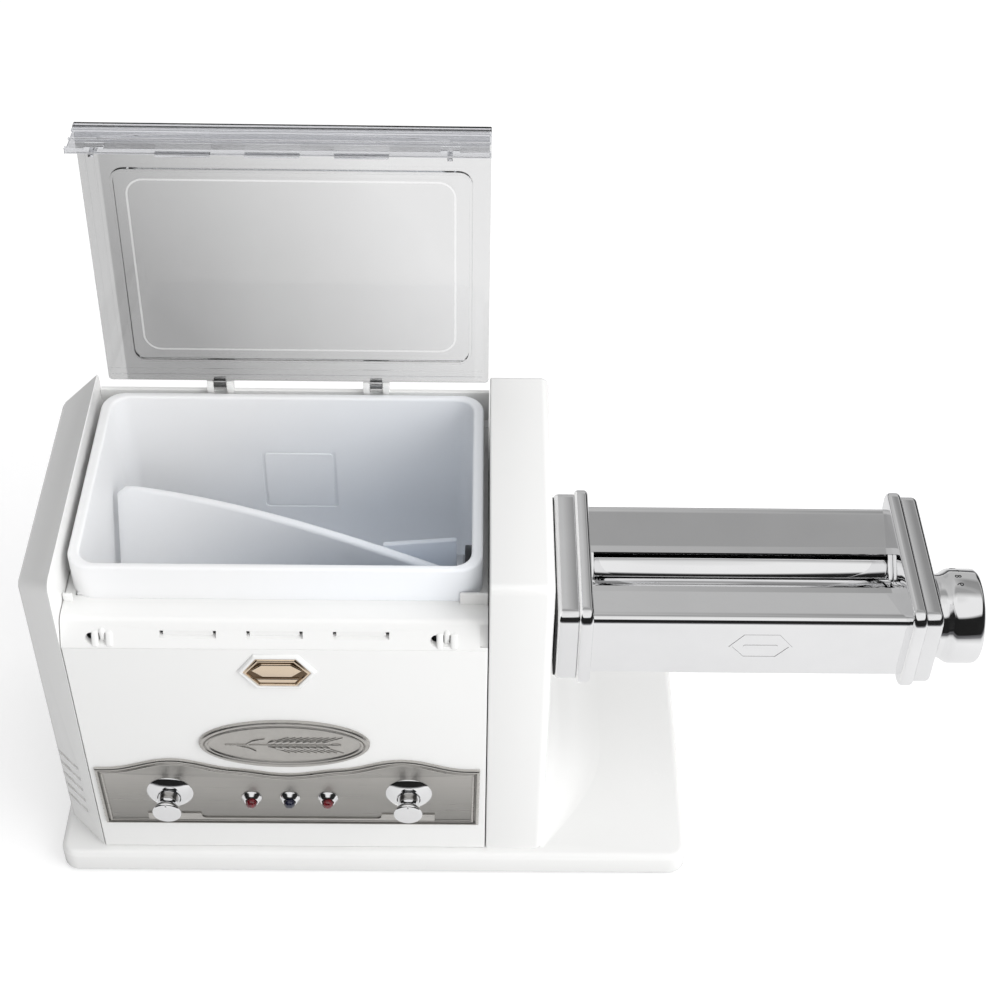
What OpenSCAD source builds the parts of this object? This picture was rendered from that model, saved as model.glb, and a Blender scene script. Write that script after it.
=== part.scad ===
// Electric pasta maker: a mixing tub with a twisted paddle, a motor column and a removable
// sheet roller unit. Millimetres, +Z up, +X towards the roller unit, the front faces -Y.
// Sizes are laid out from the lower left corner of the front panel and moved to the origin,
// which lies under the middle of the whole machine on the surface that it stands on.

/* [Body] */
// Width of the front panel, from the side cover to the motor column
panel_w = 205; // [200:1:215]
// Height of the front panel's top edge above the table
panel_top = 177; // [174:1:178]
// Depth of the body from the front panel to the rear cover
body_d = 155; // [155:1:165]
// Height of the side cover and of the motor column
body_h = 220; // [218:1:228]
// Thickness of the outer walls
wall = 2.5; // [2:0.1:3]
// Width of the hollow side cover
side_cover_w = 22; // [20:1:26]
// Run of the side cover's bevels along the top and the front
bevel = 20; // [16:1:22]
// Width of the motor column
column_w = 31; // [31:1:36]
// Radius of the motor column's upright edges
column_edge_r = 4; // [2:0.5:6]

/* [Base tray] */
// Height of the base's top face above the table
base_top = 16; // [14:0.5:18]
// How far the base stands out in front of the panel
base_front = 5.5; // [4:0.5:8]
// How far the base stands out behind the body
base_back = 5; // [3:0.5:10]
// How far the base stands out past the side cover
base_left = 2; // [1:0.5:4]
// Width of the tray that reaches under the roller unit
tray_w = 78; // [60:1:100]
// Corner radius of the base, seen from above
base_corner_r = 9; // [6:0.5:12]
// Height of the rubber feet under the base
foot_h = 1.5; // [1:0.1:3]
// Radius of the rubber feet
foot_r = 7; // [5:0.5:8]
// Largest radius of the sweep from the column down to the tray
sweep_r = 34; // [20:1:45]

/* [Front shoulder] */
// Height of the ledge that carries the tub's rim
ledge_z = 190; // [188:0.5:191]
// Depth of the slanted face below the ledge
slant_d = 7.5; // [6.5:0.5:9]
// Width of the lid slots in the slanted face
slot_w = 27; // [22:0.5:32]
// Distance between the middles of the lid slots
slot_pitch = 41.4; // [38:0.2:44]
// Distance from the panel's middle to each lid catch
catch_x = 82.5; // [76:0.5:88]

/* [Tub] */
// Gap between the tub's rim and the walls beside it
tub_gap = 3; // [2:0.5:4]
// Distance from the front panel to the tub's rim
tub_y = 20.5; // [19:0.5:22]
// Height of the tub's rim above the table
tub_top = 211; // [209:0.5:213]
// Inner radius of the tub's round bottom
bowl_r = 60; // [56:0.5:60]
// Height of the paddle's axis above the table
bowl_z = 128; // [126:0.5:130]
// Thickness of the tub's wall
tub_wall = 2; // [1.6:0.1:2.2]
// Thickness of the tub's rim at the front and the back
rim_t = 4.1; // [3.6:0.1:5]
// Thickness of the tub's rim at both ends
rim_side_t = 5.5; // [4.5:0.1:6.5]
// Corner radius of the tub's rim
rim_corner_r = 12; // [8:0.5:16]

/* [Paddle] */
// Gap between the paddle's edge and the tub
paddle_gap = 2; // [1.5:0.1:4]
// Thickness of the paddle's blade
blade_t = 5; // [4:0.2:7]
// Angle of the blade at its left end, from the back towards the top
blade_start = 63; // [50:1:75]
// Turn of the blade from end to end
blade_twist = 62; // [45:1:75]
// Radius of the paddle's neck through the tub's wall
neck_r = 12; // [11:0.2:13]
// Radius of the dark seal around the neck
seal_r = 25; // [20:0.5:27]

/* [Lid] */
// Thickness of the lid's plate
lid_t = 2.4; // [2:0.1:3]
// Gap between the closed lid and the tub's rim
lid_gap = 0.3; // [0.3:0.1:0.6]
// Depth of the lid's front skirt
skirt_h = 27; // [24:0.5:27]
// How far past upright the open lid leans
lid_lean = 5.5; // [4:0.5:12]
// Radius of the hinge pins
hinge_pin_r = 1.5; // [1.2:0.1:1.8]
// Width of each hinge ear
ear_w = 6.3; // [5:0.1:8]

/* [Control panel] */
// Distance between the middles of the two knobs
knob_pitch = 124.4; // [118:0.2:130]
// Height of the knobs above the table
knob_z = 64.8; // [62:0.2:68]
// Radius of the chrome disc behind each knob
disc_r = 12.2; // [10:0.2:13]
// Distance between the middles of the pilot lamps
lamp_pitch = 19.9; // [16:0.1:24]
// Height of the pilot lamps above the table
lamp_z = 60.8; // [58:0.2:64]
// Thickness of the pewter control plate
plate_t = 2; // [1.5:0.1:3]
// Length of the long badge
badge_w = 86.6; // [70:0.2:96]
// Height of the long badge
badge_h = 36.3; // [30:0.1:38]

/* [Drive] */
// Radius of the motor's can
motor_r = 22; // [18:0.5:23]
// Length of the motor's can
motor_l = 78; // [60:1:80]
// Radius of the paddle drive shaft
dog_r = 6; // [5:0.1:7]
// Width of the tenon that turns the paddle
tenon_w = 6; // [5:0.1:7]
// Width across the flats of the roller drive's hexagon
hex_af = 8; // [6:0.1:9]

/* [Roller unit] */
// Clear width between the roller unit's end flanges
sheet_w = 152; // [140:1:170]
// Radius of the two sheet rollers
roller_r = 14; // [12.5:0.1:14]
// Gap between the rollers as it stands
roller_gap = 2; // [2:0.1:2.4]
// Height of the rollers' axes above the table
roller_z = 170; // [168:0.5:172]
// Thickness of the outer end caps
cap_t = 10.5; // [10:0.5:13]
// Thickness of the inner end flanges
flange_t = 7; // [6:0.5:9]
// Depth of the end caps, front to back
cap_d = 88; // [86:0.5:94]
// Height of the end caps
cap_h = 48; // [47.5:0.5:52]
// Corner radius of the end caps
cap_r = 6; // [5:0.5:8]
// How far the end flanges stand out past the caps
flange_proud = 2; // [1:0.5:3]
// How far the sheet shells lie in from the caps
shell_in = 4.2; // [3.6:0.2:5]
// Largest radius of the thickness regulator knob
regulator_r = 23.5; // [20:0.5:26]
// Length of the thickness regulator knob
regulator_l = 22; // [20:0.5:28]

/* [Fits] */
// Radial clearance of shafts that turn in bores
run_fit = 0.06; // [0.03:0.01:0.09]
// Clearance of pieces that lift or slide out
slide_fit = 0.15; // [0.1:0.05:0.3]
// Clearance between neighbours that only stand beside each other
near_fit = 0.3; // [0.2:0.05:0.5]
// Clearance of pieces that are fixed in their seats
seat_fit = 0.02; // [0.01:0.01:0.05]
// Flank clearance of meshing gear teeth
backlash = 0.16; // [0.1:0.02:0.3]

/* [Hidden] */
$fn = 64;

// Colours
body_white = [0.93, 0.93, 0.92];
tub_white = [0.88, 0.91, 0.94];
pewter = [0.55, 0.55, 0.54];
chrome = [0.80, 0.81, 0.83];
steel = [0.62, 0.63, 0.65];
dark = [0.12, 0.12, 0.13];
clear = [0.82, 0.85, 0.88, 0.35];

// Left to right
mid_x = panel_w / 2;
column_x1 = panel_w + column_w;
base_x0 = -side_cover_w - base_left;
base_x1 = column_x1 + tray_w;
base_y0 = -base_front;
base_y1 = body_d + base_back;
base_skin = 2.5;
base_floor = foot_h + 3;

// Tub
rim_x0 = tub_gap;
rim_x1 = panel_w - tub_gap;
rim_y0 = tub_y;
rim_y1 = tub_y + 2 * (bowl_r + rim_t);
rim_z0 = ledge_z + 0.05;
bowl_y = (rim_y0 + rim_y1) / 2;
bowl_x0 = rim_x0 + rim_side_t;
bowl_x1 = rim_x1 - rim_side_t;
shell_x0 = bowl_x0 - tub_wall;
shell_x1 = bowl_x1 + tub_wall;
bowl_corner_r = 9;
mark_w = 40;
mark_h = 41;
mark_line = 1.6;
mark_t = 0.6;
mark_z = bowl_z + 4;

// Paddle
blade_r = bowl_r - paddle_gap;
blade_x0 = bowl_x0 + 3;
hub_disc_t = 4;
hub_disc_r = 20;
seal_t = 3.7;
hub_x0 = bowl_x1 - seal_t - near_fit - hub_disc_t;
hub_end = panel_w - 1.5;
slot_depth = 4;
stub_r = 5;
web_l = 46;
web_x0 = hub_x0 - web_l;

// Lid, first laid out closed
hinge_y = rim_y1 + 4.3;
lid_z0 = tub_top + lid_gap;
lid_z1 = lid_z0 + lid_t;
hinge_z = lid_z0 + 2.2;
lid_x0 = 6;
lid_x1 = panel_w - 0.7;
lid_y0 = 3.2;
lid_y1 = hinge_y - 3.5;
skirt_t = 2;
skirt_z0 = lid_z1 - skirt_h - 0.2;
tongue_z0 = skirt_z0 - 4.4;
tongue_y = [lid_y0 + 0.2, lid_y0 + 1.2];
open_angle = 90 + lid_lean;
ear_x = [60.5, 142.3];
hook_w = 9;
hook_tip_w = 2.4;
hook_y0 = 1.4;
ear_r = 3;
bracket_w = 3.4;
rib_x0 = 20;
rib_x1 = panel_w - 9.5;
rib_y0 = rim_y0 + 5;
rib_y1 = rim_y1 - 11.7;
rib_w = 2;
rib_h = 2;
lip_h = 2.5;

// Roller unit
unit_x0 = column_x1 + 1.5;
flange_x0 = unit_x0 + cap_t;
sheet_x0 = flange_x0 + flange_t;
sheet_x1 = sheet_x0 + sheet_w;
flange_x1 = sheet_x1 + flange_t;
right_cap_t = 8.5;
unit_x1 = flange_x1 + right_cap_t;
cap_y0 = 3;
cap_z1 = 198;
cap_z0 = cap_z1 - cap_h;
cap_y1 = cap_y0 + cap_d;
cap_wall = 2.5;
gap_min = 0.6;
gap_max = 4.8;
back_axis_y = 60;
front_axis_y = back_axis_y - 2 * roller_r - roller_gap;
journal_r = 5;
bush_r = 8;
carrier_s = 16;
carrier_in = roller_gap - gap_min;
carrier_out = gap_max - roller_gap;
roller_end_gap = 0.5;
skin_t = 1.2;
hood_t = 1.2;
lip_z = roller_z + roller_r + 2.6;
front_lip_y = 34.5;
back_lip_y = 57.5;
hood_top = cap_z1 - 4.8;
rod_r = 3;
regulator_y = 32;
regulator_x0 = unit_x1 + 2;
regulator_x1 = regulator_x0 + regulator_l;
regulator_shaft_r = 5;

// Gear train: centres as [y, z], driven from the motor up to the rollers
paddle_at = [bowl_y, bowl_z];
motor_at = [body_d - 31, base_top + 28];
// The reduction axle lies just in front of the middle between its neighbours
reduction_at = [(bowl_y + motor_at[0]) / 2 - 6.3, bowl_z - 48];
roller_at = [back_axis_y, roller_z];
motor_teeth = 13;
reduction_teeth = 57;
reduction_pinion_teeth = 15;
paddle_teeth = 44;
paddle_pinion_teeth = 32;
roller_teeth = 20;
unit_teeth = 11;
plate_x0 = panel_w + 3;
plate_steel = 3;
layer_a = plate_x0 + plate_steel + 1;
layer_b = layer_a + 7;
layer_c = layer_b + 7;
layer_w = 5.6;
motor_shaft_r = 2.5;
axle_r = 3;
socket_r = 7.6;
hex_tenon_x0 = column_x1 - 14;

// A range that reaches d to either side of c
function around(c, d) = [c - d, c + d];
function gap_between(a, b) = norm(b - a);
function heading(a, b) = atan2(b[1] - a[1], b[0] - a[0]);
function mesh_module(a, b, na, nb) = 2 * gap_between(a, b) / (na + nb);
// Turn of gear b that puts its gaps on gear a's teeth
function mesh_turn(turn_a, na, angle, nb) = angle + 180 + 180 / nb - (turn_a - angle) * na / nb;

module_a = mesh_module(motor_at, reduction_at, motor_teeth, reduction_teeth);
module_b = mesh_module(reduction_at, paddle_at, reduction_pinion_teeth, paddle_teeth);
module_c = mesh_module(paddle_at, roller_at, paddle_pinion_teeth, roller_teeth);
module_unit = (2 * roller_r + gap_min) / unit_teeth;
paddle_turn = 0;
reduction_pinion_turn =
    mesh_turn(paddle_turn, paddle_teeth, heading(paddle_at, reduction_at), reduction_pinion_teeth);
reduction_turn = 0;
motor_turn = mesh_turn(reduction_turn, reduction_teeth, heading(reduction_at, motor_at), motor_teeth);
roller_turn = mesh_turn(paddle_turn, paddle_pinion_teeth, heading(paddle_at, roller_at), roller_teeth);
unit_turn = mesh_turn(0, unit_teeth, 180, unit_teeth);

// Control panel
knob_x = [mid_x - knob_pitch / 2, mid_x + knob_pitch / 2];
lamp_x = [mid_x - lamp_pitch, mid_x, mid_x + lamp_pitch];
plate_edge_z = 84.8;
plate_hump = 7.6;
plate_dip = 4.2;
plate_bottom = 38.5;
shaft_r = 3;
disc_t = 1.6;
knob_l = 14.5;
knob_r = 7.6;
bezel_r = 5.5;
lens_r = 2.8;
bezel_t = 2.2;
lamp_r = 4;
switch_y = wall + 1;

// The whole machine's middle, which is moved to the origin
function swing_y(y, z) = hinge_y - (y - hinge_y) * sin(lid_lean) + (z - hinge_z) * cos(lid_lean);
machine_x0 = base_x0;
machine_x1 = regulator_x1;
machine_y0 = -plate_t - disc_t - knob_l;
machine_y1 = swing_y(lid_y0, lid_z1);
centre_x = (machine_x0 + machine_x1) / 2;
centre_y = (machine_y0 + machine_y1) / 2;

// ---------------------------------------------------------------- shared shapes

module to_origin() {
    translate([-centre_x, -centre_y, 0])
        children();
}

// A block between two corners
module block(x, y, z) {
    translate([x[0], y[0], z[0]])
        cube([x[1] - x[0], y[1] - y[0], z[1] - z[0]]);
}

// A rod along X, Y or Z; at holds the other two coordinates in X, Y, Z order
module rod_x(x, at, r) {
    translate([x[0], at[0], at[1]])
        rotate([0, 90, 0])
            cylinder(h = x[1] - x[0], r = r);
}

module rod_y(y, at, r) {
    translate([at[0], y[0], at[1]])
        rotate([-90, 0, 0])
            cylinder(h = y[1] - y[0], r = r);
}

module rod_z(z, at, r) {
    translate([at[0], at[1], z[0]])
        cylinder(h = z[1] - z[0], r = r);
}

// A flat outline drawn in Y and Z, pulled along X
module along_x(x) {
    translate([x[0], 0, 0])
        rotate([90, 0, 90])
            linear_extrude(x[1] - x[0])
                children();
}

// A flat outline drawn in X and Z, pulled along Y
module along_y(y) {
    translate([0, y[1], 0])
        rotate([90, 0, 0])
            linear_extrude(y[1] - y[0])
                children();
}

module along_z(z) {
    translate([0, 0, z[0]])
        linear_extrude(z[1] - z[0])
            children();
}

// A rectangle with round corners between two corners
module round_rect(a, b, r) {
    translate([a[0] + r, a[1]])
        square([b[0] - a[0] - 2 * r, b[1] - a[1]]);
    translate([a[0], a[1] + r])
        square([b[0] - a[0], b[1] - a[1] - 2 * r]);
    for (x = [a[0] + r, b[0] - r])
        for (y = [a[1] + r, b[1] - r])
            translate([x, y])
                circle(r = r);
}

// A profile of [distance along the axis, radius] points, turned about X
module turned_x(x, at, profile) {
    translate([x, at[0], at[1]])
        rotate([0, 90, 0])
            rotate_extrude()
                polygon(concat([[0, profile[0][0]]],
                               [for (p = profile) [p[1], p[0]]],
                               [[0, profile[len(profile) - 1][0]]]));
}

// The same about Y, growing towards the front
module turned_front(y, at, profile) {
    translate([at[0], y, at[1]])
        rotate([90, 0, 0])
            rotate_extrude()
                polygon(concat([[0, profile[0][0]]],
                               [for (p = profile) [p[1], p[0]]],
                               [[0, profile[len(profile) - 1][0]]]));
}

pressure_angle = 25;
tip_share = 0.9;
root_share = 1.2;
flank_steps = 2;
function involute_turn(r, rb) = sqrt(pow(r / rb, 2) - 1) * 180 / PI - acos(rb / r);
// One tooth's outline, from its root on one side over the tip to its root on the other
function tooth(n, m, turn) =
    let (rp = n * m / 2,
         rb = rp * cos(pressure_angle),
         root = rp - root_share * m,
         start = max(rb, root) + 0.01,
         tip = rp + tip_share * m,
         half = 90 / n - backlash / (2 * rp) * 180 / PI,
         at_pitch = involute_turn(rp, rb),
         radii = [for (i = [0:flank_steps]) start + (tip - start) * i / flank_steps],
         flank = [for (r = radii) [r, half - involute_turn(r, rb) + at_pitch]])
    concat([[min(root, start - 0.02), -flank[0][1]]],
           [for (p = flank) [p[0], -p[1]]],
           [for (i = [flank_steps:-1:0]) flank[i]],
           [[min(root, start - 0.02), flank[0][1]]]);
function gear_outline(n, m, turn) =
    [for (k = [0:n - 1])
        for (p = tooth(n, m, turn))
            let (a = turn + k * 360 / n + p[1])
            [p[0] * cos(a), p[0] * sin(a)]];

// A spur gear about X with a bore
module gear(x, at, n, m, turn, bore) {
    difference() {
        translate([0, at[0], at[1]])
            along_x(x)
                polygon(gear_outline(n, m, turn));
        rod_x([x[0] - 1, x[1] + 1], at, bore);
    }
}

// ---------------------------------------------------------------- base and covers

// The concave sweep between the column's side and the tray, from nothing at the front
module column_sweep() {
    stations = 9;
    arc = 8;
    run = 70;
    y_end = body_d - 4;
    function reach(i) = i == 0 ? 0.2 : sweep_r * sin(90 * min(1, (y_end * i / stations) / run));
    ring = arc + 2;
    points = [for (i = [0:stations])
        let (y = 0.5 + (y_end - 0.5) * i / stations, r = reach(i))
        each concat([[column_x1, y, base_top]],
                    [for (k = [0:arc])
                        let (a = 90 * k / arc)
                        [column_x1 + r - r * sin(a), y, base_top + r - r * cos(a)]])];
    faces = concat(
        [[for (k = [ring - 1:-1:0]) k]],
        [[for (k = [0:ring - 1]) stations * ring + k]],
        [for (i = [0:stations - 1])
            for (k = [0:ring - 1])
                let (n = (k + 1) % ring)
                [i * ring + k, i * ring + n, (i + 1) * ring + n, (i + 1) * ring + k]]);
    polyhedron(points, faces, convexity = 4);
}

foot_at = [
    [base_x0 + 16, base_y0 + 18], [base_x0 + 16, base_y1 - 16],
    [base_x1 - 16, base_y0 + 18], [base_x1 - 16, base_y1 - 16]
];
peg_r = 2.5;

// Corner of the tray that the side cover's bevel leaves bare, and two walls' width behind it
module bare_corner() {
    slope = bevel / side_cover_w;
    reach = 2 * wall * sqrt(1 + slope * slope);
    polygon([[-side_cover_w - 1, 0],
             [reach / slope, 0],
             [-side_cover_w - 1, reach + (side_cover_w + 1) * slope]]);
}

module base_tray() {
    color(body_white)
        to_origin()
            difference() {
                union() {
                    along_z([foot_h, base_top])
                        round_rect([base_x0, base_y0], [base_x1, base_y1], base_corner_r);
                    column_sweep();
                }
                difference() {
                    block([-side_cover_w + 2 * wall, column_x1 - 2 * wall],
                          [2 * wall, body_d - 2 * wall],
                          [base_floor, base_top + 1]);
                    along_z([base_floor - 1, base_top + 2])
                        bare_corner();
                }
                difference() {
                    block([column_x1 + 2, base_x1 - base_skin],
                          [base_y0 + base_skin + 2, base_y1 - base_skin],
                          [foot_h - 1, base_top - base_skin]);
                    for (at = [foot_at[2], foot_at[3]])
                        rod_z([foot_h - 1, base_top], at, foot_r);
                }
                for (at = foot_at)
                    rod_z([foot_h - 1, foot_h + 3 + near_fit], at, peg_r + seat_fit);
            }
}

module feet() {
    color(dark)
        to_origin()
            for (at = foot_at) {
                rod_z([0, foot_h], at, foot_r);
                rod_z([foot_h, foot_h + 3], at, peg_r);
            }
}

louvre_pitch = 9.1;
louvre_h = 3.6;
louvre_z = 34.5;

// Side cover's outline from the front (X, Z) and from above (X, Y), pulled in by t
module side_front_outline(t) {
    slope = bevel / side_cover_w;
    drop = t * sqrt(1 + slope * slope);
    polygon([[-t, base_top - (t > 0 ? 1 : 0)],
             [-t, body_h - drop - t * slope],
             [-side_cover_w + t, body_h - drop - (side_cover_w - t) * slope],
             [-side_cover_w + t, base_top - (t > 0 ? 1 : 0)]]);
}

module side_top_outline(t) {
    slope = bevel / side_cover_w;
    drop = t * sqrt(1 + slope * slope);
    polygon([[-t, drop + t * slope],
             [-side_cover_w + t, drop + (side_cover_w - t) * slope],
             [-side_cover_w + t, body_d - t],
             [-t, body_d - t]]);
}

module left_side_cover() {
    color(body_white)
        to_origin()
            difference() {
                intersection() {
                    along_y([0, body_d])
                        side_front_outline(0);
                    along_z([base_top, body_h])
                        side_top_outline(0);
                }
                intersection() {
                    along_y([-1, body_d + 1])
                        side_front_outline(wall);
                    along_z([base_top - 1, body_h])
                        side_top_outline(wall);
                }
                for (k = [0:4])
                    translate([0, 0, louvre_z + k * louvre_pitch])
                        block([-side_cover_w - 1, -side_cover_w / 2 - 2],
                              [bevel / 2 + 1, 58],
                              [0, louvre_h]);
            }
}

badge_frame_w = 44;
badge_frame_h = 31;
top_badge_z = 161;
top_badge_w = 38;
top_badge_h = 25;
top_badge_t = 2.2;
long_badge_z = 105.6;

// The emblem's outline: a flat hexagon with points at its left and right
module emblem(w, h) {
    polygon([[-w / 2, 0], [-w * 0.4, h / 2], [w * 0.4, h / 2],
             [w / 2, 0], [w * 0.4, -h / 2], [-w * 0.4, -h / 2]]);
}

module front_panel() {
    color(body_white)
        to_origin()
            difference() {
                union() {
                    block([near_fit / 2, panel_w - near_fit / 2], [0, wall], [base_top, panel_top]);
                    for (x = [wall, panel_w - 2 * wall])
                        block([x, x + wall], [wall, wall + 6], [base_top, panel_top - 4]);
                    difference() {
                        along_y([-1.2, 0])
                            translate([mid_x, top_badge_z])
                                emblem(badge_frame_w, badge_frame_h);
                        along_y([-2, 0])
                            translate([mid_x, top_badge_z])
                                emblem(top_badge_w + 2 * slide_fit, top_badge_h + 2 * slide_fit);
                    }
                }
                for (x = knob_x)
                    rod_y([-1, wall + 1], [x, knob_z], shaft_r + 1);
                for (x = lamp_x)
                    rod_y([-1, wall + 1], [x, lamp_z], lamp_r + seat_fit);
            }
}

catch_w = 11.5;
corner_w = 14;
corner_d = 4.2;
corner_h = 8;
slot_x = [mid_x - slot_pitch, mid_x, mid_x + slot_pitch];
tub_clear = 0.4;
ledge_y1 = bowl_y - bowl_r - tub_wall - tub_clear;

module front_shoulder() {
    color(body_white)
        to_origin()
            difference() {
                union() {
                    along_x([near_fit / 2, panel_w - near_fit / 2])
                        polygon([[0, panel_top + 0.05], [slant_d, ledge_z], [ledge_y1, ledge_z],
                                 [ledge_y1, ledge_z - wall], [slant_d + 1.5, ledge_z - wall],
                                 [wall + 0.6, panel_top + 0.05]]);
                    // block that closes the corner beside the tub's rounded front band
                    block([panel_w - corner_w, panel_w - near_fit / 2],
                          [rim_y0 - corner_d, rim_y0 - 2 * near_fit],
                          [ledge_z, ledge_z + corner_h]);
                    block([near_fit / 2, corner_w / 2], [rim_y0 - corner_d, rim_y0 - 2 * near_fit],
                          [ledge_z, ledge_z + corner_h]);
                }
                for (x = slot_x)
                    block([x - slot_w / 2, x + slot_w / 2], [-1, tongue_y[1] + near_fit],
                          [tongue_z0 - 2 * near_fit, ledge_z - wall]);
                for (x = [mid_x - catch_x, mid_x + catch_x])
                    block([x - catch_w / 2, x + catch_w / 2], [-1, 4.4], [panel_top, panel_top + 5.5]);
            }
}

drive_hole_r = 9;

module column_outline(t) {
    round_rect([panel_w + t, t], [column_x1 - t, body_d - t], column_edge_r - t * 0.9);
}

module column_front_outline(t) {
    round_rect([panel_w + t, base_top - column_edge_r - 2], [column_x1 - t, body_h - t],
               column_edge_r - t * 0.9);
}

peg_at = [[14, 188], [14, 160]];
unit_peg_r = 3;

module motor_housing() {
    color(body_white)
        to_origin()
            difference() {
                intersection() {
                    along_z([base_top, body_h])
                        column_outline(0);
                    along_y([0, body_d])
                        column_front_outline(0);
                }
                intersection() {
                    along_z([base_top - 1, body_h - wall])
                        column_outline(wall);
                    along_y([0, body_d])
                        column_front_outline(wall);
                }
                // way in for the motor
                block([panel_w - 1, panel_w + wall + 1], [motor_at[0] - motor_r - 3, body_d - 2 * wall],
                      [base_top - 1, motor_at[1] + motor_r + 3]);
                rod_x([panel_w - 1, panel_w + wall + 1], paddle_at, drive_hole_r + near_fit);
                rod_x([column_x1 - wall - 1, column_x1 + 1], roller_at, socket_r + run_fit);
                for (at = peg_at)
                    rod_x([column_x1 - wall - 1, column_x1 + 1], at, unit_peg_r + slide_fit);
            }
}

cover_y0 = body_d - wall;
cover_top = hinge_z - 4.5;
inlet_x = 40;
inlet_z = 46;
inlet_w = 27;
inlet_h = 20;
screw_at = [[8, 24], [panel_w - 8, 24], [8, 180], [panel_w - 8, 180]];
vent_x0 = 125;
vent_w = 4;
vent_pitch = 8;
vent_z = [30, 62];

module rear_cover() {
    color(body_white)
        to_origin()
            difference() {
                union() {
                    block([near_fit / 2, panel_w - near_fit / 2],
                          [cover_y0, body_d],
                          [base_top, cover_top]);
                    // ledge under the tub's rim
                    block([near_fit / 2, panel_w - near_fit / 2],
                          [bowl_y + bowl_r + tub_wall + tub_clear, cover_y0], [ledge_z - wall, ledge_z]);
                    // brackets that hold the hinge pins
                    for (x = ear_x)
                        for (side = [x - near_fit - bracket_w, x + ear_w + near_fit]) {
                            block([side, side + bracket_w],
                                  [hinge_y - ear_r, body_d],
                                  [cover_top, hinge_z]);
                            rod_x([side, side + bracket_w], [hinge_y, hinge_z], ear_r);
                        }
                }
                for (x = ear_x)
                    rod_x([x - 6, x + ear_w + 6], [hinge_y, hinge_z], hinge_pin_r + seat_fit);
                block([inlet_x - inlet_w / 2, inlet_x + inlet_w / 2], [cover_y0 - 1, body_d + 1],
                      [inlet_z - inlet_h / 2, inlet_z + inlet_h / 2]);
                for (k = [0:7])
                    block([vent_x0 + k * vent_pitch, vent_x0 + vent_w + k * vent_pitch],
                          [cover_y0 - 1, body_d + 1], vent_z);
                for (at = screw_at)
                    rod_y([cover_y0 - 1, body_d + 1], at, 1.8);
            }
}

module cover_screws() {
    color(steel)
        to_origin()
            for (at = screw_at) {
                rod_y([cover_y0 - 3, body_d], at, 1.7);
                difference() {
                    rod_y([body_d, body_d + 1.8], at, 3.4);
                    block([at[0] - 2.6, at[0] + 2.6],
                          [body_d + 0.9, body_d + 2],
                          [at[1] - 0.45, at[1] + 0.45]);
                    block([at[0] - 0.45, at[0] + 0.45],
                          [body_d + 0.9, body_d + 2],
                          [at[1] - 2.6, at[1] + 2.6]);
                }
            }
}

plate_bolt_at = [[12, 30], [12, 196], [143, 112]];

module gear_plate() {
    color(steel)
        to_origin()
            difference() {
                along_x([plate_x0, plate_x0 + plate_steel])
                    round_rect([5, base_floor], [body_d - 6, body_h - wall - 8], 4);
                rod_x([plate_x0 - 1, plate_x0 + plate_steel + 1], paddle_at, drive_hole_r + seat_fit);
                rod_x([plate_x0 - 1, plate_x0 + plate_steel + 1], reduction_at, axle_r + seat_fit);
                rod_x([plate_x0 - 1, plate_x0 + plate_steel + 1], motor_at, motor_shaft_r + 3);
                rod_x([plate_x0 - 1, plate_x0 + plate_steel + 1], roller_at, axle_r + 1 + run_fit);
                for (at = plate_bolt_at)
                    rod_x([plate_x0 - 1, plate_x0 + plate_steel + 1], at, 2.1);
            }
}

module lid_catches() {
    color(body_white)
        to_origin()
            for (x = [mid_x - catch_x, mid_x + catch_x]) {
                block([x - catch_w / 2 + 0.1, x + catch_w / 2 - 0.1],
                      [3.4, 4.3],
                      [panel_top + 0.1, panel_top + 5.3]);
                for (side = [-1, 1])
                    rod_z([panel_top + 0.1, panel_top + 5.3], [x + side * 3.4, 2.2], 1.9);
            }
}

module hinge_pins() {
    color(steel)
        to_origin()
            for (x = ear_x)
                rod_x([x - near_fit - bracket_w, x + ear_w + near_fit + bracket_w],
                      [hinge_y, hinge_z], hinge_pin_r);
}

// ---------------------------------------------------------------- control panel

plate_x_edge = 3;
plate_steps = 56;
// Height of the plate's top edge: a hump over each knob and a dip between them
function bell(d, w) = abs(d) < w ? (1 + cos(180 * d / w)) / 2 : 0;
function plate_edge(x) =
    plate_edge_z + plate_hump * (bell(x - knob_x[0] - 3, 34) + bell(x - knob_x[1] + 3, 34))
    - plate_dip * bell(x - mid_x, 30);

module control_outline() {
    x0 = plate_x_edge;
    x1 = panel_w - plate_x_edge;
    polygon(concat([[x1, plate_bottom], [x0 + 1, plate_bottom]],
                   [for (i = [0:plate_steps])
                       let (x = x0 + (x1 - x0) * i / plate_steps) [x, plate_edge(x)]]));
}

tab_w = 29;
tab_h = 5;
tab_z = 45;

module control_plate() {
    color(pewter)
        to_origin()
            difference() {
                union() {
                    along_y([-plate_t, 0])
                        control_outline();
                    for (x = [knob_x[0] + 1, knob_x[1] - 1])
                        block([x - tab_w / 2, x + tab_w / 2],
                              [-plate_t - 0.7, -plate_t],
                              [tab_z, tab_z + tab_h]);
                }
                for (x = knob_x)
                    rod_y([-plate_t - 2, 1], [x, knob_z], shaft_r + 1);
                for (x = lamp_x)
                    rod_y([-plate_t - 2, 1], [x, lamp_z], lamp_r + seat_fit);
            }
}

module knob_discs() {
    color(chrome)
        to_origin()
            for (x = knob_x)
                difference() {
                    turned_front(-plate_t, [x, knob_z],
                                 [[0, disc_r], [disc_t * 0.4, disc_r], [disc_t, disc_r - 1.6]]);
                    rod_y([-plate_t - disc_t - 1, 0], [x, knob_z], shaft_r + run_fit);
                }
}

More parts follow.
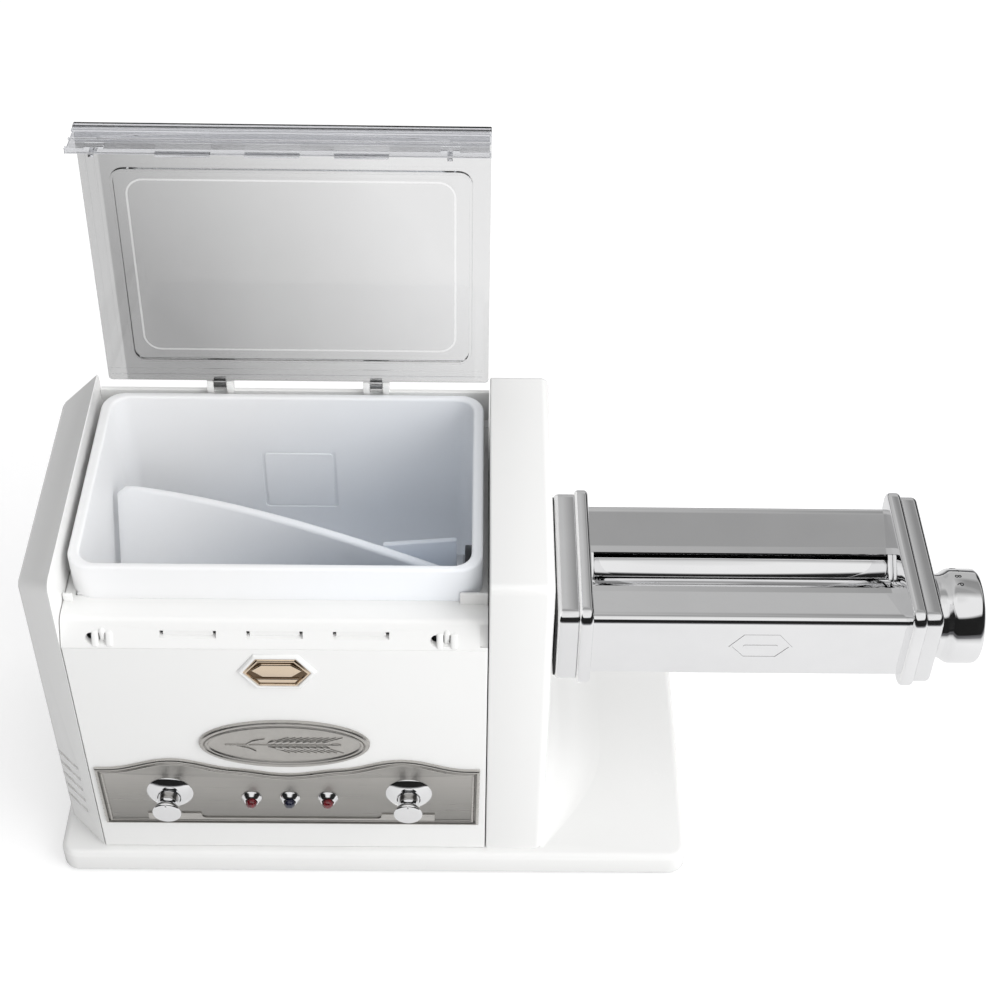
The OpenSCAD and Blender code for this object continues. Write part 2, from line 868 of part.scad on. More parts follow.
module panel_knob(x) {
    y = -plate_t - disc_t - 0.2;
    turned_front(y, [x, knob_z],
                 [[0, knob_r], [1.2, knob_r], [3.4, knob_r - 1.8], [6, knob_r - 2],
                  [8.6, knob_r - 0.8], [knob_l - 1.6, knob_r], [knob_l - 0.2, knob_r - 1.4]]);
    rod_y([y, switch_y + 4], [x, knob_z], shaft_r);
}

module selector_knob() {
    color(chrome)
        to_origin()
            panel_knob(knob_x[0]);
}

module power_knob() {
    color(chrome)
        to_origin()
            panel_knob(knob_x[1]);
}

switch_w = 20;
switch_d = 18;

// A rotary switch behind the panel, with its terminals at the back
module rotary_switch(x) {
    difference() {
        union() {
            block([x - switch_w / 2, x + switch_w / 2], [wall, wall + switch_d],
                  [knob_z - switch_w / 2, knob_z + switch_w / 2]);
            for (k = [-1, 0, 1])
                block([x + k * 6 - 1.5, x + k * 6 + 1.5], [wall + switch_d, wall + switch_d + 6],
                      [knob_z - 0.4, knob_z + 0.4]);
        }
        rod_y([wall - 1, switch_y + 4 + near_fit], [x, knob_z], shaft_r + run_fit);
    }
}

module selector_switch() {
    color(dark)
        to_origin()
            rotary_switch(knob_x[0]);
}

module power_switch() {
    color(dark)
        to_origin()
            rotary_switch(knob_x[1]);
}

module lamp_bezels() {
    color(chrome)
        to_origin()
            for (x = lamp_x)
                difference() {
                    turned_front(-plate_t, [x, lamp_z],
                                 [[0, bezel_r], [0.6, bezel_r], [bezel_t, lens_r + 1.1]]);
                    rod_y([-plate_t - bezel_t - 1, 0], [x, lamp_z], lens_r + seat_fit);
                }
}

// A lens that stands in its bezel, domed at the front
module lens(x) {
    turned_front(0, [x, lamp_z],
                 [[0, lens_r], [plate_t + bezel_t, lens_r], [plate_t + bezel_t + 0.8, lens_r * 0.8],
                  [plate_t + bezel_t + 1.2, lens_r * 0.4]]);
}

module red_lenses() {
    color("firebrick")
        to_origin() {
            lens(lamp_x[0]);
            lens(lamp_x[2]);
        }
}

module blue_lens() {
    color("royalblue")
        to_origin()
            lens(lamp_x[1]);
}

module lamp_bodies() {
    color(dark)
        to_origin()
            for (x = lamp_x) {
                rod_y([0, 16], [x, lamp_z], lamp_r);
                for (side = [-1.5, 1.5])
                    block([x + side - 0.4, x + side + 0.4], [16, 21], [lamp_z - 0.8, lamp_z + 0.8]);
            }
}

function oval(w, h) = [for (a = [0:7.5:352.5]) [w / 2 * cos(a), h / 2 * sin(a)]];

module oval_badge() {
    color(pewter)
        to_origin() {
            difference() {
                along_y([-2.6, 0])
                    translate([mid_x, long_badge_z])
                        polygon(oval(badge_w, badge_h));
                along_y([-3, -1.6])
                    translate([mid_x, long_badge_z])
                        polygon(oval(badge_w - 9, badge_h - 9));
            }
            along_y([-2.4, -1.6])
                translate([mid_x, long_badge_z])
                    polygon(oval(badge_w - 14, badge_h - 14));
        }
}

module top_badge() {
    color("goldenrod")
        to_origin()
            along_y([-top_badge_t, 0])
                translate([mid_x, top_badge_z])
                    emblem(top_badge_w, top_badge_h);
}

// ---------------------------------------------------------------- electrics

board_x = [55, 150];
board_z = [112, 172];
board_y = 10;
board_t = 1.6;

module circuit_board() {
    color("darkgreen")
        to_origin() {
            block(board_x, [board_y, board_y + board_t], board_z);
            // standoffs to the front panel
            for (x = [board_x[0] + 4, board_x[1] - 4])
                for (z = [board_z[0] + 4, board_z[1] - 4])
                    rod_y([wall, board_y], [x, z], 2);
            // relay, transformer and capacitor, which stand towards the panel
            block([62, 80], [wall + 1, board_y], [130, 142]);
            block([92, 114], [wall + 1, board_y], [126, 146]);
            rod_y([wall + 1, board_y], [130, 140], 6);
        }
}

module power_inlet() {
    color(dark)
        to_origin()
            difference() {
                union() {
                    block([inlet_x - inlet_w / 2 + seat_fit, inlet_x + inlet_w / 2 - seat_fit],
                          [cover_y0 - 14, body_d],
                          [inlet_z - inlet_h / 2 + seat_fit, inlet_z + inlet_h / 2 - seat_fit]);
                    block([inlet_x - inlet_w / 2 - 4, inlet_x + inlet_w / 2 + 4], [body_d, body_d + 2],
                          [inlet_z - inlet_h / 2 - 4, inlet_z + inlet_h / 2 + 4]);
                }
                difference() {
                    block(around(inlet_x, 12), [body_d - 13, body_d + 3], around(inlet_z, 8));
                    for (k = [-1, 0, 1])
                        block(around(inlet_x + k * 7, 1), [body_d - 14, body_d - 3],
                              around(inlet_z - 3 + abs(k) * 2, 2));
                }
            }
}

// ---------------------------------------------------------------- drive train

motor_x1 = plate_x0;
motor_x0 = motor_x1 - motor_l;
can_wall = 2.4;

module motor_can() {
    color(steel)
        to_origin()
            difference() {
                rod_x([motor_x0, motor_x1], motor_at, motor_r);
                rod_x([motor_x0 + 3, motor_x1 - 3], motor_at, motor_r - can_wall);
                rod_x([motor_x0 - 1, motor_x1 + 1], motor_at, motor_shaft_r + run_fit);
                for (side = [-1, 1])
                    rod_x([motor_x0 - 1, motor_x0 + 4], motor_at + [side * 12, 0], 3);
            }
}

module motor_rotor() {
    color(steel)
        to_origin() {
            rod_x([motor_x0 - 12, layer_a + layer_w + 1], motor_at, motor_shaft_r);
            // armature and commutator
            difference() {
                rod_x([motor_x0 + 18, motor_x1 - 14], motor_at, 15);
                for (k = [0:9])
                    translate([0, motor_at[0], motor_at[1]])
                        rotate([k * 36, 0, 0])
                            block([motor_x0 + 17, motor_x1 - 13], [12, 16], [-1, 1]);
            }
            rod_x([motor_x0 + 6, motor_x0 + 16], motor_at, 7);
        }
}

module motor_fan() {
    color(dark)
        to_origin()
            difference() {
                union() {
                    rod_x([motor_x0 - 10, motor_x0 - 2], motor_at, 6);
                    rod_x([motor_x0 - 3.2, motor_x0 - 2], motor_at, motor_r - 3);
                    for (k = [0:7])
                        translate([0, motor_at[0], motor_at[1]])
                            rotate([k * 45, 0, 0])
                                block([motor_x0 - 10, motor_x0 - 3], [4, motor_r - 3.4], [-0.7, 0.7]);
                }
                rod_x([motor_x0 - 11, motor_x0 - 1], motor_at, motor_shaft_r + seat_fit);
            }
}

module motor_pinion() {
    color("goldenrod")
        to_origin()
            gear([layer_a, layer_a + layer_w], motor_at, motor_teeth, module_a, motor_turn,
                 motor_shaft_r + seat_fit);
}

module reduction_gear() {
    color(tub_white)
        to_origin() {
            gear([layer_a, layer_a + layer_w], reduction_at, reduction_teeth, module_a, reduction_turn,
                 axle_r + run_fit);
            gear([layer_a + layer_w, layer_b + layer_w], reduction_at, reduction_pinion_teeth, module_b,
                 reduction_pinion_turn, axle_r + run_fit);
        }
}

module reduction_axle() {
    color(steel)
        to_origin() {
            rod_x([plate_x0, layer_b + layer_w + 2.5], reduction_at, axle_r);
            rod_x([layer_b + layer_w + near_fit, layer_b + layer_w + 2.5], reduction_at, axle_r + 2);
        }
}

module paddle_drive_gear() {
    color(tub_white)
        to_origin() {
            gear([layer_b, layer_b + layer_w], paddle_at, paddle_teeth, module_b, paddle_turn,
                 dog_r + seat_fit);
            gear([layer_b + layer_w, layer_c + layer_w], paddle_at, paddle_pinion_teeth, module_c,
                 paddle_turn, dog_r + seat_fit);
        }
}

tenon_l = 20;
tenon_x0 = hub_end - slot_depth + near_fit;

module drive_dog() {
    color(steel)
        to_origin() {
            rod_x([panel_w - 0.3, layer_c + layer_w + 0.6], paddle_at, dog_r);
            block([tenon_x0, panel_w - 0.3], around(bowl_y, tenon_w / 2),
                  around(bowl_z, tenon_l / 2));
        }
}

module drive_bush() {
    color("goldenrod")
        to_origin()
            difference() {
                union() {
                    rod_x([panel_w + 0.4, plate_x0 + plate_steel], paddle_at, drive_hole_r);
                    rod_x([plate_x0 + plate_steel, layer_b - near_fit], paddle_at, drive_hole_r + 2);
                }
                rod_x([panel_w, layer_b + 1], paddle_at, dog_r + run_fit);
            }
}

module roller_drive_gear() {
    color(tub_white)
        to_origin()
            gear([layer_c, layer_c + layer_w], roller_at, roller_teeth, module_c, roller_turn,
                 socket_r + seat_fit);
}

// A hexagon about X that stands on a flat
module hexagon_x(x, at, af) {
    translate([x[0], at[0], at[1]])
        rotate([0, 90, 0])
            cylinder(h = x[1] - x[0], r = af / sqrt(3), $fn = 6);
}

module roller_drive_shaft() {
    color(steel)
        to_origin()
            difference() {
                union() {
                    rod_x([layer_a, column_x1 + 0.6], roller_at, socket_r);
                    rod_x([plate_x0 + 0.2, layer_a], roller_at, axle_r + 1);
                }
                hexagon_x([hex_tenon_x0 - 1, column_x1 + 1], roller_at, hex_af + 2 * slide_fit);
            }
}

// ---------------------------------------------------------------- lid

// Swings what is drawn closed up to where the lid stands
module opened() {
    translate([0, hinge_y, hinge_z])
        rotate([-open_angle, 0, 0])
            translate([0, -hinge_y, -hinge_z])
                children();
}

module lid() {
    color(clear)
        to_origin()
            opened() {
                difference() {
                    union() {
                        along_z([lid_z0, lid_z1])
                            round_rect([lid_x0, lid_y0], [lid_x1, lid_y1], 2);
                        // front skirt and its stepped lip
                        block([lid_x0 + 1, lid_x1 - 1], [lid_y0, lid_y0 + skirt_t], [skirt_z0, lid_z0]);
                        block([lid_x0, lid_x1], [lid_y0, lid_y0 + skirt_t + 0.8], [lid_z0 - lip_h, lid_z0]);
                        for (x = slot_x)
                            block([x - slot_w / 2 + 0.8, x + slot_w / 2 - 0.8],
                                  tongue_y, [tongue_z0, skirt_z0]);
                        // frame of ribs that reaches into the tub
                        difference() {
                            along_z([lid_z0 - rib_h, lid_z0])
                                round_rect([rib_x0, rib_y0], [rib_x1, rib_y1], 8);
                            along_z([lid_z0 - rib_h - 1, lid_z0])
                                round_rect([rib_x0 + rib_w, rib_y0 + rib_w],
                                           [rib_x1 - rib_w, rib_y1 - rib_w], 6);
                        }
                        for (x = ear_x) {
                            block([x, x + ear_w], [lid_y1 - 2, hinge_y], [lid_z0, lid_z1]);
                            rod_x([x, x + ear_w], [hinge_y, hinge_z], ear_r);
                        }
                        // hooks that snap in between the catches' rollers
                        for (x = [mid_x - catch_x, mid_x + catch_x]) {
                            block(around(x, hook_w / 2),
                                  [hook_y0, lid_y0 + skirt_t],
                                  [skirt_z0, skirt_z0 + 4]);
                            block(around(x, hook_tip_w / 2),
                                  [hook_y0, hook_y0 + 1.6],
                                  [panel_top + 1.6, skirt_z0]);
                        }
                    }
                    for (x = ear_x)
                        rod_x([x - 1, x + ear_w + 1], [hinge_y, hinge_z], hinge_pin_r + run_fit);
                }
            }
}

// ---------------------------------------------------------------- tub and paddle

module tub() {
    color(tub_white)
        to_origin()
            difference() {
                union() {
                    along_z([rim_z0, tub_top])
                        round_rect([rim_x0, rim_y0], [rim_x1, rim_y1], rim_corner_r);
                    block([shell_x0, shell_x1], around(bowl_y, bowl_r + tub_wall), [bowl_z, rim_z0]);
                    rod_x([shell_x0, shell_x1], paddle_at, bowl_r + tub_wall);
                }
                along_z([bowl_z, tub_top + 1])
                    round_rect([bowl_x0, bowl_y - bowl_r], [bowl_x1, bowl_y + bowl_r], bowl_corner_r);
                rod_x([bowl_x0, bowl_x1], paddle_at, bowl_r);
                rod_x([bowl_x1 - 1, shell_x1 + 1], paddle_at, neck_r + run_fit);
                rod_x([shell_x0 - 1, bowl_x0 + 1], paddle_at, bush_r + seat_fit);
                // level mark: a sunk outline in the back wall
                difference() {
                    block([mid_x - mark_w / 2, mid_x + mark_w / 2],
                          [bowl_y + bowl_r - 1, bowl_y + bowl_r + mark_t], [mark_z, mark_z + mark_h]);
                    block([mid_x - mark_w / 2 + mark_line, mid_x + mark_w / 2 - mark_line],
                          [bowl_y + bowl_r - 2, bowl_y + bowl_r + mark_t + 1],
                          [mark_z + mark_line, mark_z + mark_h - mark_line]);
                }
            }
}

module tub_bush() {
    color(dark)
        to_origin()
            difference() {
                union() {
                    rod_x([shell_x0 - 1.5, bowl_x0], paddle_at, bush_r);
                    rod_x([bowl_x0, bowl_x0 + 1.4], paddle_at, bush_r + 2);
                }
                rod_x([shell_x0 - 2, bowl_x0 + 2], paddle_at, stub_r + run_fit);
            }
}

module tub_seal() {
    color(dark)
        to_origin()
            difference() {
                rod_x([bowl_x1 - seal_t, bowl_x1], paddle_at, seal_r);
                rod_x([bowl_x1 - seal_t - 1, bowl_x1 + 1], paddle_at, neck_r + run_fit);
            }
}

module paddle() {
    color(tub_white)
        to_origin() {
            difference() {
                union() {
                    translate([blade_x0, bowl_y, bowl_z])
                        rotate([90, 0, 90])
                            linear_extrude(hub_x0 - blade_x0, twist = -blade_twist, slices = 20)
                                rotate(blade_start)
                                    square([2 * blade_r, blade_t], center = true);
                    // web that stiffens the driven end
                    along_y(around(bowl_y, 1.5))
                        polygon([[web_x0, bowl_z + 8], [web_x0 + 8, bowl_z + 36],
                                 [hub_x0, bowl_z + 40], [hub_x0, bowl_z - 8]]);
                }
                rod_x([blade_x0 - 1, blade_x0 + 8], paddle_at, stub_r + 2);
            }
            rod_x([blade_x0 + 0.05, blade_x0 + 8], paddle_at, stub_r + 2);
            rod_x([shell_x0 - 1.4, blade_x0 + 0.05], paddle_at, stub_r);
        }
}

module paddle_hub() {
    color(steel)
        to_origin()
            difference() {
                union() {
                    rod_x([hub_x0, hub_x0 + hub_disc_t], paddle_at, hub_disc_r);
                    rod_x([hub_x0 + hub_disc_t, hub_end], paddle_at, neck_r);
                }
                // slot across the end, open at both sides, for the drive tenon
                block([hub_end - slot_depth, hub_end + 1],
                      around(bowl_y, tenon_w / 2 + slide_fit),
                      around(bowl_z, neck_r + 1));
            }
}

// ---------------------------------------------------------------- roller unit

module cap_outline(t) {
    round_rect([cap_y0 + t, cap_z0 + t], [cap_y1 - t, cap_z1 - t], cap_r - t * 0.8);
}

front_at = [front_axis_y, roller_z];
regulator_at = [regulator_y, roller_z];

module left_cap() {
    color(chrome)
        to_origin()
            difference() {
                union() {
                    along_x([unit_x0, flange_x0])
                        cap_outline(0);
                    rod_x([column_x1 + 0.05, unit_x0], roller_at, socket_r + 6);
                    for (at = peg_at)
                        rod_x([column_x1 - wall - 0.5, unit_x0 + 1], at, unit_peg_r);
                }
                along_x([unit_x0 + cap_wall, flange_x0 + 1])
                    cap_outline(cap_wall);
                rod_x([column_x1 - 1, unit_x0 + cap_wall + 1], roller_at, socket_r + 1);
            }
}

// One end flange, with a round seat for the back bush and a slot for the front one
module flange(x) {
    difference() {
        along_x(x)
            cap_outline(-flange_proud);
        rod_x([x[0] - 1, x[1] + 1], roller_at, bush_r + seat_fit);
        block([x[0] - 1, x[1] + 1],
              [front_axis_y - carrier_s / 2 - carrier_out - near_fit,
               front_axis_y + carrier_s / 2 + carrier_in + near_fit],
              around(roller_z, carrier_s / 2 + slide_fit));
        for (at = rod_at)
            rod_x([x[0] - 1, x[1] + 1], at, rod_r + seat_fit);
    }
}

module left_flange() {
    color(chrome)
        to_origin()
            flange([flange_x0, sheet_x0]);
}

module right_flange() {
    color(chrome)
        to_origin()
            flange([sheet_x1, flange_x1]);
}

module right_cap() {
    color(chrome)
        to_origin()
            difference() {
                union() {
                    along_x([flange_x1, unit_x1])
                        cap_outline(0);
                    rod_x([unit_x1, unit_x1 + 1.6], regulator_at, regulator_r - 5);
                }
                along_x([flange_x1 - 1, unit_x1 - cap_wall])
                    cap_outline(cap_wall);
                rod_x([flange_x1, unit_x1 + 3], regulator_at, regulator_shaft_r + run_fit);
            }
}

skin_y0 = cap_y0 + shell_in;
skin_y1 = cap_y1 - shell_in;
skin_z0 = cap_z0 + 1.6;
skin_top = hood_top - 4;

module front_skin() {
    color(chrome)
        to_origin()
            along_x([sheet_x0, sheet_x1])
                polygon([[skin_y0, skin_z0 + 3], [skin_y0, skin_top],
                         [skin_y0 + skin_t, skin_top], [skin_y0 + skin_t, skin_z0 + 3.5],
                         [skin_y0 + 4.5, skin_z0 + skin_t], [skin_y0 + 9, skin_z0 + skin_t],
                         [skin_y0 + 9, skin_z0], [skin_y0 + 4, skin_z0]]);
}

module back_skin() {
    color(chrome)
        to_origin()
            along_x([sheet_x0, sheet_x1])
                polygon([[skin_y1, skin_z0 + 3], [skin_y1, skin_top],
                         [skin_y1 - skin_t, skin_top], [skin_y1 - skin_t, skin_z0 + 3.5],
                         [skin_y1 - 4.5, skin_z0 + skin_t], [skin_y1 - 9, skin_z0 + skin_t],
                         [skin_y1 - 9, skin_z0], [skin_y1 - 4, skin_z0]]);
}

// A hood's outline from its top edge at the skin down to its lip over a roller
module hood_outline(y_top, y_lip) {
    side = y_lip > y_top ? 1 : -1;
    polygon([[y_top, skin_top + 0.05], [y_top, hood_top - 1], [y_top + side * 1, hood_top],
             [y_top + side * 6, hood_top], [y_lip, lip_z], [y_lip, lip_z - hood_t],
             [y_top + side * 5.8, hood_top - hood_t], [y_top + side * 1.6, hood_top - hood_t],
             [y_top + side * 1.2, skin_top + 0.05]]);
}

module front_hood() {
    color(chrome)
        to_origin()
            along_x([sheet_x0, sheet_x1])
                hood_outline(skin_y0, front_lip_y);
}

module back_hood() {
    color(chrome)
        to_origin()
            along_x([sheet_x0, sheet_x1])
                hood_outline(skin_y1, back_lip_y);
}

rod_in = 9;
rod_back_in = 9;
rod_up = 16;
rod_down = 13;
rod_at = [[cap_y0 + rod_in, roller_z + rod_up], [cap_y1 - rod_back_in, roller_z + rod_up + 1],
          [cap_y0 + rod_in, roller_z - rod_down], [cap_y1 - rod_back_in, roller_z - rod_down]];

module tie_rods() {
    color(steel)
        to_origin()
            for (at = rod_at)
                rod_x([flange_x0 + 0.2, flange_x1 - 0.2], at, rod_r);
}

scraper_gap = 0.5;
scraper_l = 9.2;
scraper_lean = 5.2;

// A scraper blade that points at a roller's underside, leaning away from the sheet
module scraper(axis_y, side) {
    reach = roller_r + scraper_gap;
    tip = [axis_y + side * reach * cos(60), roller_z - reach * sin(60)];
    along_x([sheet_x0, sheet_x1])
        polygon([tip, tip + [side * 0.9, -0.7], tip + [-side * (scraper_lean - 1), -scraper_l],
                 tip + [-side * scraper_lean, -scraper_l + 0.6]]);
}

module scrapers() {
    color(steel)
        to_origin() {
            scraper(back_axis_y, -1);
            scraper(front_axis_y + carrier_in, 1);
        }
}

module roller_bushes() {
    color("goldenrod")
        to_origin()
            for (x = [[flange_x0 + 0.2, sheet_x0 - 0.1], [sheet_x1 + 0.1, flange_x1 - 0.2]])
                difference() {
                    rod_x(x, roller_at, bush_r);
                    rod_x([x[0] - 1, x[1] + 1], roller_at, journal_r + run_fit);
                }
}

module gap_carriers() {
    color("goldenrod")
        to_origin()
            for (x = [[flange_x0 + 0.2, sheet_x0 - 0.1], [sheet_x1 + 0.1, flange_x1 - 0.2]])
                difference() {
                    block(x, around(front_axis_y, carrier_s / 2),
                          around(roller_z, carrier_s / 2));
                    rod_x([x[0] - 1, x[1] + 1], front_at, journal_r + run_fit);
                }
}

unit_gear_x = [flange_x0 - 6.6, flange_x0 - 1.4];

module back_roller() {
    color(chrome)
        to_origin() {
            rod_x([sheet_x0 + roller_end_gap, sheet_x1 - roller_end_gap], roller_at, roller_r);
            rod_x([unit_x0 + 1, sheet_x0 + roller_end_gap], roller_at, journal_r);
            rod_x([sheet_x1 - roller_end_gap, flange_x1 - 0.5], roller_at, journal_r);
            hexagon_x([hex_tenon_x0, unit_x0 + 1], roller_at, hex_af);
        }
}

module front_roller() {
    color(chrome)
        to_origin() {
            rod_x([sheet_x0 + roller_end_gap, sheet_x1 - roller_end_gap], front_at, roller_r);
            rod_x([unit_gear_x[0] - 0.4, sheet_x0 + roller_end_gap], front_at, journal_r);
            rod_x([sheet_x1 - roller_end_gap, flange_x1 - 0.5], front_at, journal_r);
        }
}

module back_roller_gear() {
    color(steel)
        to_origin()
            gear(unit_gear_x, roller_at, unit_teeth, module_unit, 0, journal_r + seat_fit);
}

module front_roller_gear() {
    color(steel)
        to_origin()
            gear(unit_gear_x, front_at, unit_teeth, module_unit, unit_turn, journal_r + seat_fit);
}

module regulator_shaft() {
    color(steel)
        to_origin() {
            rod_x([flange_x1 + 0.4, regulator_x1 - 8], regulator_at, regulator_shaft_r);
            // cam that shifts the front roller's carriers
            rod_x([flange_x1 + 0.4, unit_x1 - cap_wall - near_fit], regulator_at + [1.5, 0], 9);
        }
}

module regulator_knob() {
    r = regulator_r;
    l = regulator_l;
    color(chrome)
        to_origin()
            difference() {
                turned_x(regulator_x0, regulator_at,
                         [[0, r - 3.4], [0.6, r - 2.9], [l * 0.24, r - 2.9], [l * 0.45, r - 0.6],
                          [l * 0.6, r], [l * 0.92, r], [l - 0.4, r - 1.2], [l, r - 2.2]]);
                rod_x([regulator_x0 - 1, regulator_x1 - 7], regulator_at, regulator_shaft_r + run_fit);
                // sunk ring in the end face
                rod_x([regulator_x1 - 1.2, regulator_x1 + 1], regulator_at, r - 6);
            }
}

base_tray();
feet();
left_side_cover();
front_panel();
front_shoulder();
motor_housing();
rear_cover();
gear_plate();
cover_screws();
lid_catches();
hinge_pins();
control_plate();
knob_discs();
lamp_bezels();
red_lenses();
blue_lens();
lamp_bodies();
oval_badge();
top_badge();
selector_switch();
power_switch();
circuit_board();
power_inlet();
motor_can();
reduction_axle();
drive_bush();
motor_rotor();
motor_fan();
motor_pinion();
reduction_gear();
paddle_drive_gear();
drive_dog();
roller_drive_gear();
roller_drive_shaft();
selector_knob();
power_knob();
lid();
tub();
tub_bush();
tub_seal();
paddle();
paddle_hub();
left_cap();
left_flange();
right_flange();
right_cap();
front_skin();
back_skin();
front_hood();
back_hood();
tie_rods();
scrapers();
roller_bushes();
back_roller();
back_roller_gear();
front_roller();
front_roller_gear();
gap_carriers();
regulator_shaft();
regulator_knob();
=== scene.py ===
import logging
import math
from contextlib import contextmanager
from dataclasses import dataclass, field
from enum import Enum
from typing import Callable, Iterator, Sequence

import bmesh
import bpy
from mathutils import Matrix, Vector


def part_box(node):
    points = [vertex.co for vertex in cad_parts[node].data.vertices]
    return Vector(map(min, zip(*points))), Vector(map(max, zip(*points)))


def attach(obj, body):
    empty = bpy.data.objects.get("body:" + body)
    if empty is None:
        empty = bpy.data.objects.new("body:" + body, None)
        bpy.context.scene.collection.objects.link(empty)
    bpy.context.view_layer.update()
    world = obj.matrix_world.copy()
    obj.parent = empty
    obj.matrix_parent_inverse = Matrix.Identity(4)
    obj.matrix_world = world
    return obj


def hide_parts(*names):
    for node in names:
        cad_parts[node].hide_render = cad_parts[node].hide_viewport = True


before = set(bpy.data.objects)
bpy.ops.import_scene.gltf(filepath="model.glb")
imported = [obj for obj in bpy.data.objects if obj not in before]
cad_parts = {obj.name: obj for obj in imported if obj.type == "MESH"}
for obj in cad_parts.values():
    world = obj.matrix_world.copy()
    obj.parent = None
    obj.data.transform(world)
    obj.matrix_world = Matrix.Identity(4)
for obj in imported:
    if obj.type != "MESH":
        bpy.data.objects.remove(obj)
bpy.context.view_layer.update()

LOG = logging.getLogger("pasta_maker")

Point2 = tuple[float, float]
Point3 = tuple[float, float, float]
Outline = Sequence[Point2]
Colour = tuple[float, float, float, float]
Piece = bpy.types.Object
EdgeTest = Callable[[bmesh.types.BMEdge], bool]

MM = 0.001
BASE_CORNER = Vector((-24.0, -5.5, 1.5))
SAME_PLACE = 0.01
CLOSE = 1e-3


def machine_origin() -> Vector:
    """Row-frame place, in metres, of the layout's zero at the panel's lower left corner."""
    return Vector(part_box("base_tray")[0]) - BASE_CORNER * MM


# ------------------------------------------------------------------ choices


class Rides(Enum):
    """The bodies that pieces ride on."""

    FRAME = "frame"
    LID = "lid"
    TUB = "tub"
    PADDLE = "paddle"
    SELECTOR = "selector_knob"
    POWER = "power_knob"
    UNIT = "roller_unit"
    BACK_ROLLER = "back_roller"
    FRONT_ROLLER = "front_roller"
    REGULATOR = "regulator_knob"


class Plane(Enum):
    """The plane that a flat outline is drawn in; its number is the axis that it is pulled along."""

    YZ = 0
    XZ = 1
    XY = 2


class Cut(Enum):
    """What a second solid does to the first."""

    AWAY = "DIFFERENCE"
    ON = "UNION"


@dataclass(frozen=True)
class Layout:
    """Places that several sub-assemblies share, in the layout's millimetres."""

    mid: float = 102.5
    width: float = 205.0
    depth: float = 155.0
    foot: float = 16.0
    top: float = 220.0
    column_side: float = 236.0
    slot_pitch: float = 41.4
    catch_reach: float = 82.5
    paddle_axis: Point2 = (84.6, 128.0)
    tub_radius: float = 60.0
    back_roller_axis: Point2 = (60.0, 170.0)
    pegs: tuple[Point2, ...] = ((14.0, 188.0), (14.0, 160.0))
    upper_badge: Point2 = (102.5, 161.0)

    @property
    def slots(self) -> Sequence[float]:
        """Where the lid's three tongues stand along X."""
        return self.mid - self.slot_pitch, self.mid, self.mid + self.slot_pitch

    @property
    def catches(self) -> Sequence[float]:
        """Where the lid's two catches stand along X."""
        return self.mid - self.catch_reach, self.mid + self.catch_reach


LAYOUT = Layout()


# ------------------------------------------------------------------ edges


def at_level(axis: int, *levels: float) -> EdgeTest:
    """A test for edges that lie in a plane across an axis, at any of these levels."""
    return lambda e: any(all(abs(v.co[axis] - level) < SAME_PLACE for v in e.verts) for level in levels)


def is_crease(edge: bmesh.types.BMEdge, degrees: float = 30.0) -> bool:
    """Whether an edge turns sharply between its two faces."""
    return len(edge.link_faces) == 2 and edge.calc_face_angle(0.0) > math.radians(degrees)


def crease_at(axis: int, level: float, degrees: float = 30.0) -> EdgeTest:
    """A test for sharp edges that lie in a plane across an axis."""
    return lambda e: is_crease(e, degrees) and at_level(axis, level)(e)


def crease_along(axis: int) -> EdgeTest:
    """A test for sharp edges that run along an axis."""
    return lambda e: is_crease(e) and all(abs(e.verts[0].co[k] - e.verts[1].co[k]) < SAME_PLACE
                                          for k in range(3) if k != axis)


def low_end(edge: bmesh.types.BMEdge, axis: int) -> float:
    """The lower end of an edge along an axis."""
    return min(v.co[axis] for v in edge.verts)


def high_end(edge: bmesh.types.BMEdge, axis: int) -> float:
    """The higher end of an edge along an axis."""
    return max(v.co[axis] for v in edge.verts)


# ------------------------------------------------------------------ workshop


def select_only(*pieces: Piece) -> None:
    """Selects these objects alone and makes the first one active.

    Args:
        pieces: the objects, the active one first.
    """
    for other in list(bpy.context.selected_objects):
        other.select_set(False)
    for piece in pieces:
        piece.select_set(True)
    bpy.context.view_layer.objects.active = pieces[0]


@contextmanager
def editing(piece: Piece) -> Iterator[None]:
    """Edit mode on one object, with everything selected at the start.

    Args:
        piece: the object.

    Yields:
        Nothing; the object is in edit mode meanwhile.
    """
    select_only(piece)
    bpy.ops.object.mode_set(mode="EDIT")
    bpy.ops.mesh.select_mode(type="VERT")
    bpy.ops.mesh.select_all(action="SELECT")
    yield
    bpy.ops.object.mode_set(mode="OBJECT")


def pick_edges(piece: Piece, test: EdgeTest) -> int:
    """Selects the edges that pass a test, in edit mode.

    Args:
        piece: the object in edit mode.
        test: says of an edge whether it is wanted.

    Returns:
        How many edges were selected.
    """
    bpy.ops.mesh.select_mode(type="EDGE")
    bpy.ops.mesh.select_all(action="DESELECT")
    chosen = [e for e in bmesh.from_edit_mesh(piece.data).edges if test(e)]
    for edge in chosen:
        edge.select_set(True)
    bmesh.update_edit_mesh(piece.data)
    return len(chosen)


def round_edges(piece: Piece, radius: float, segments: int, test: EdgeTest = is_crease) -> Piece:
    """Rounds the edges that pass a test.

    Args:
        piece: the piece.
        radius: the rounding, in millimetres.
        segments: how many facets the rounding has.
        test: which edges are rounded.

    Returns:
        The piece.
    """
    with editing(piece):
        if pick_edges(piece, test):
            bpy.ops.mesh.bevel(offset=radius, offset_type="OFFSET", segments=segments,
                               profile=0.5, affect="EDGES", clamp_overlap=True)
    return piece


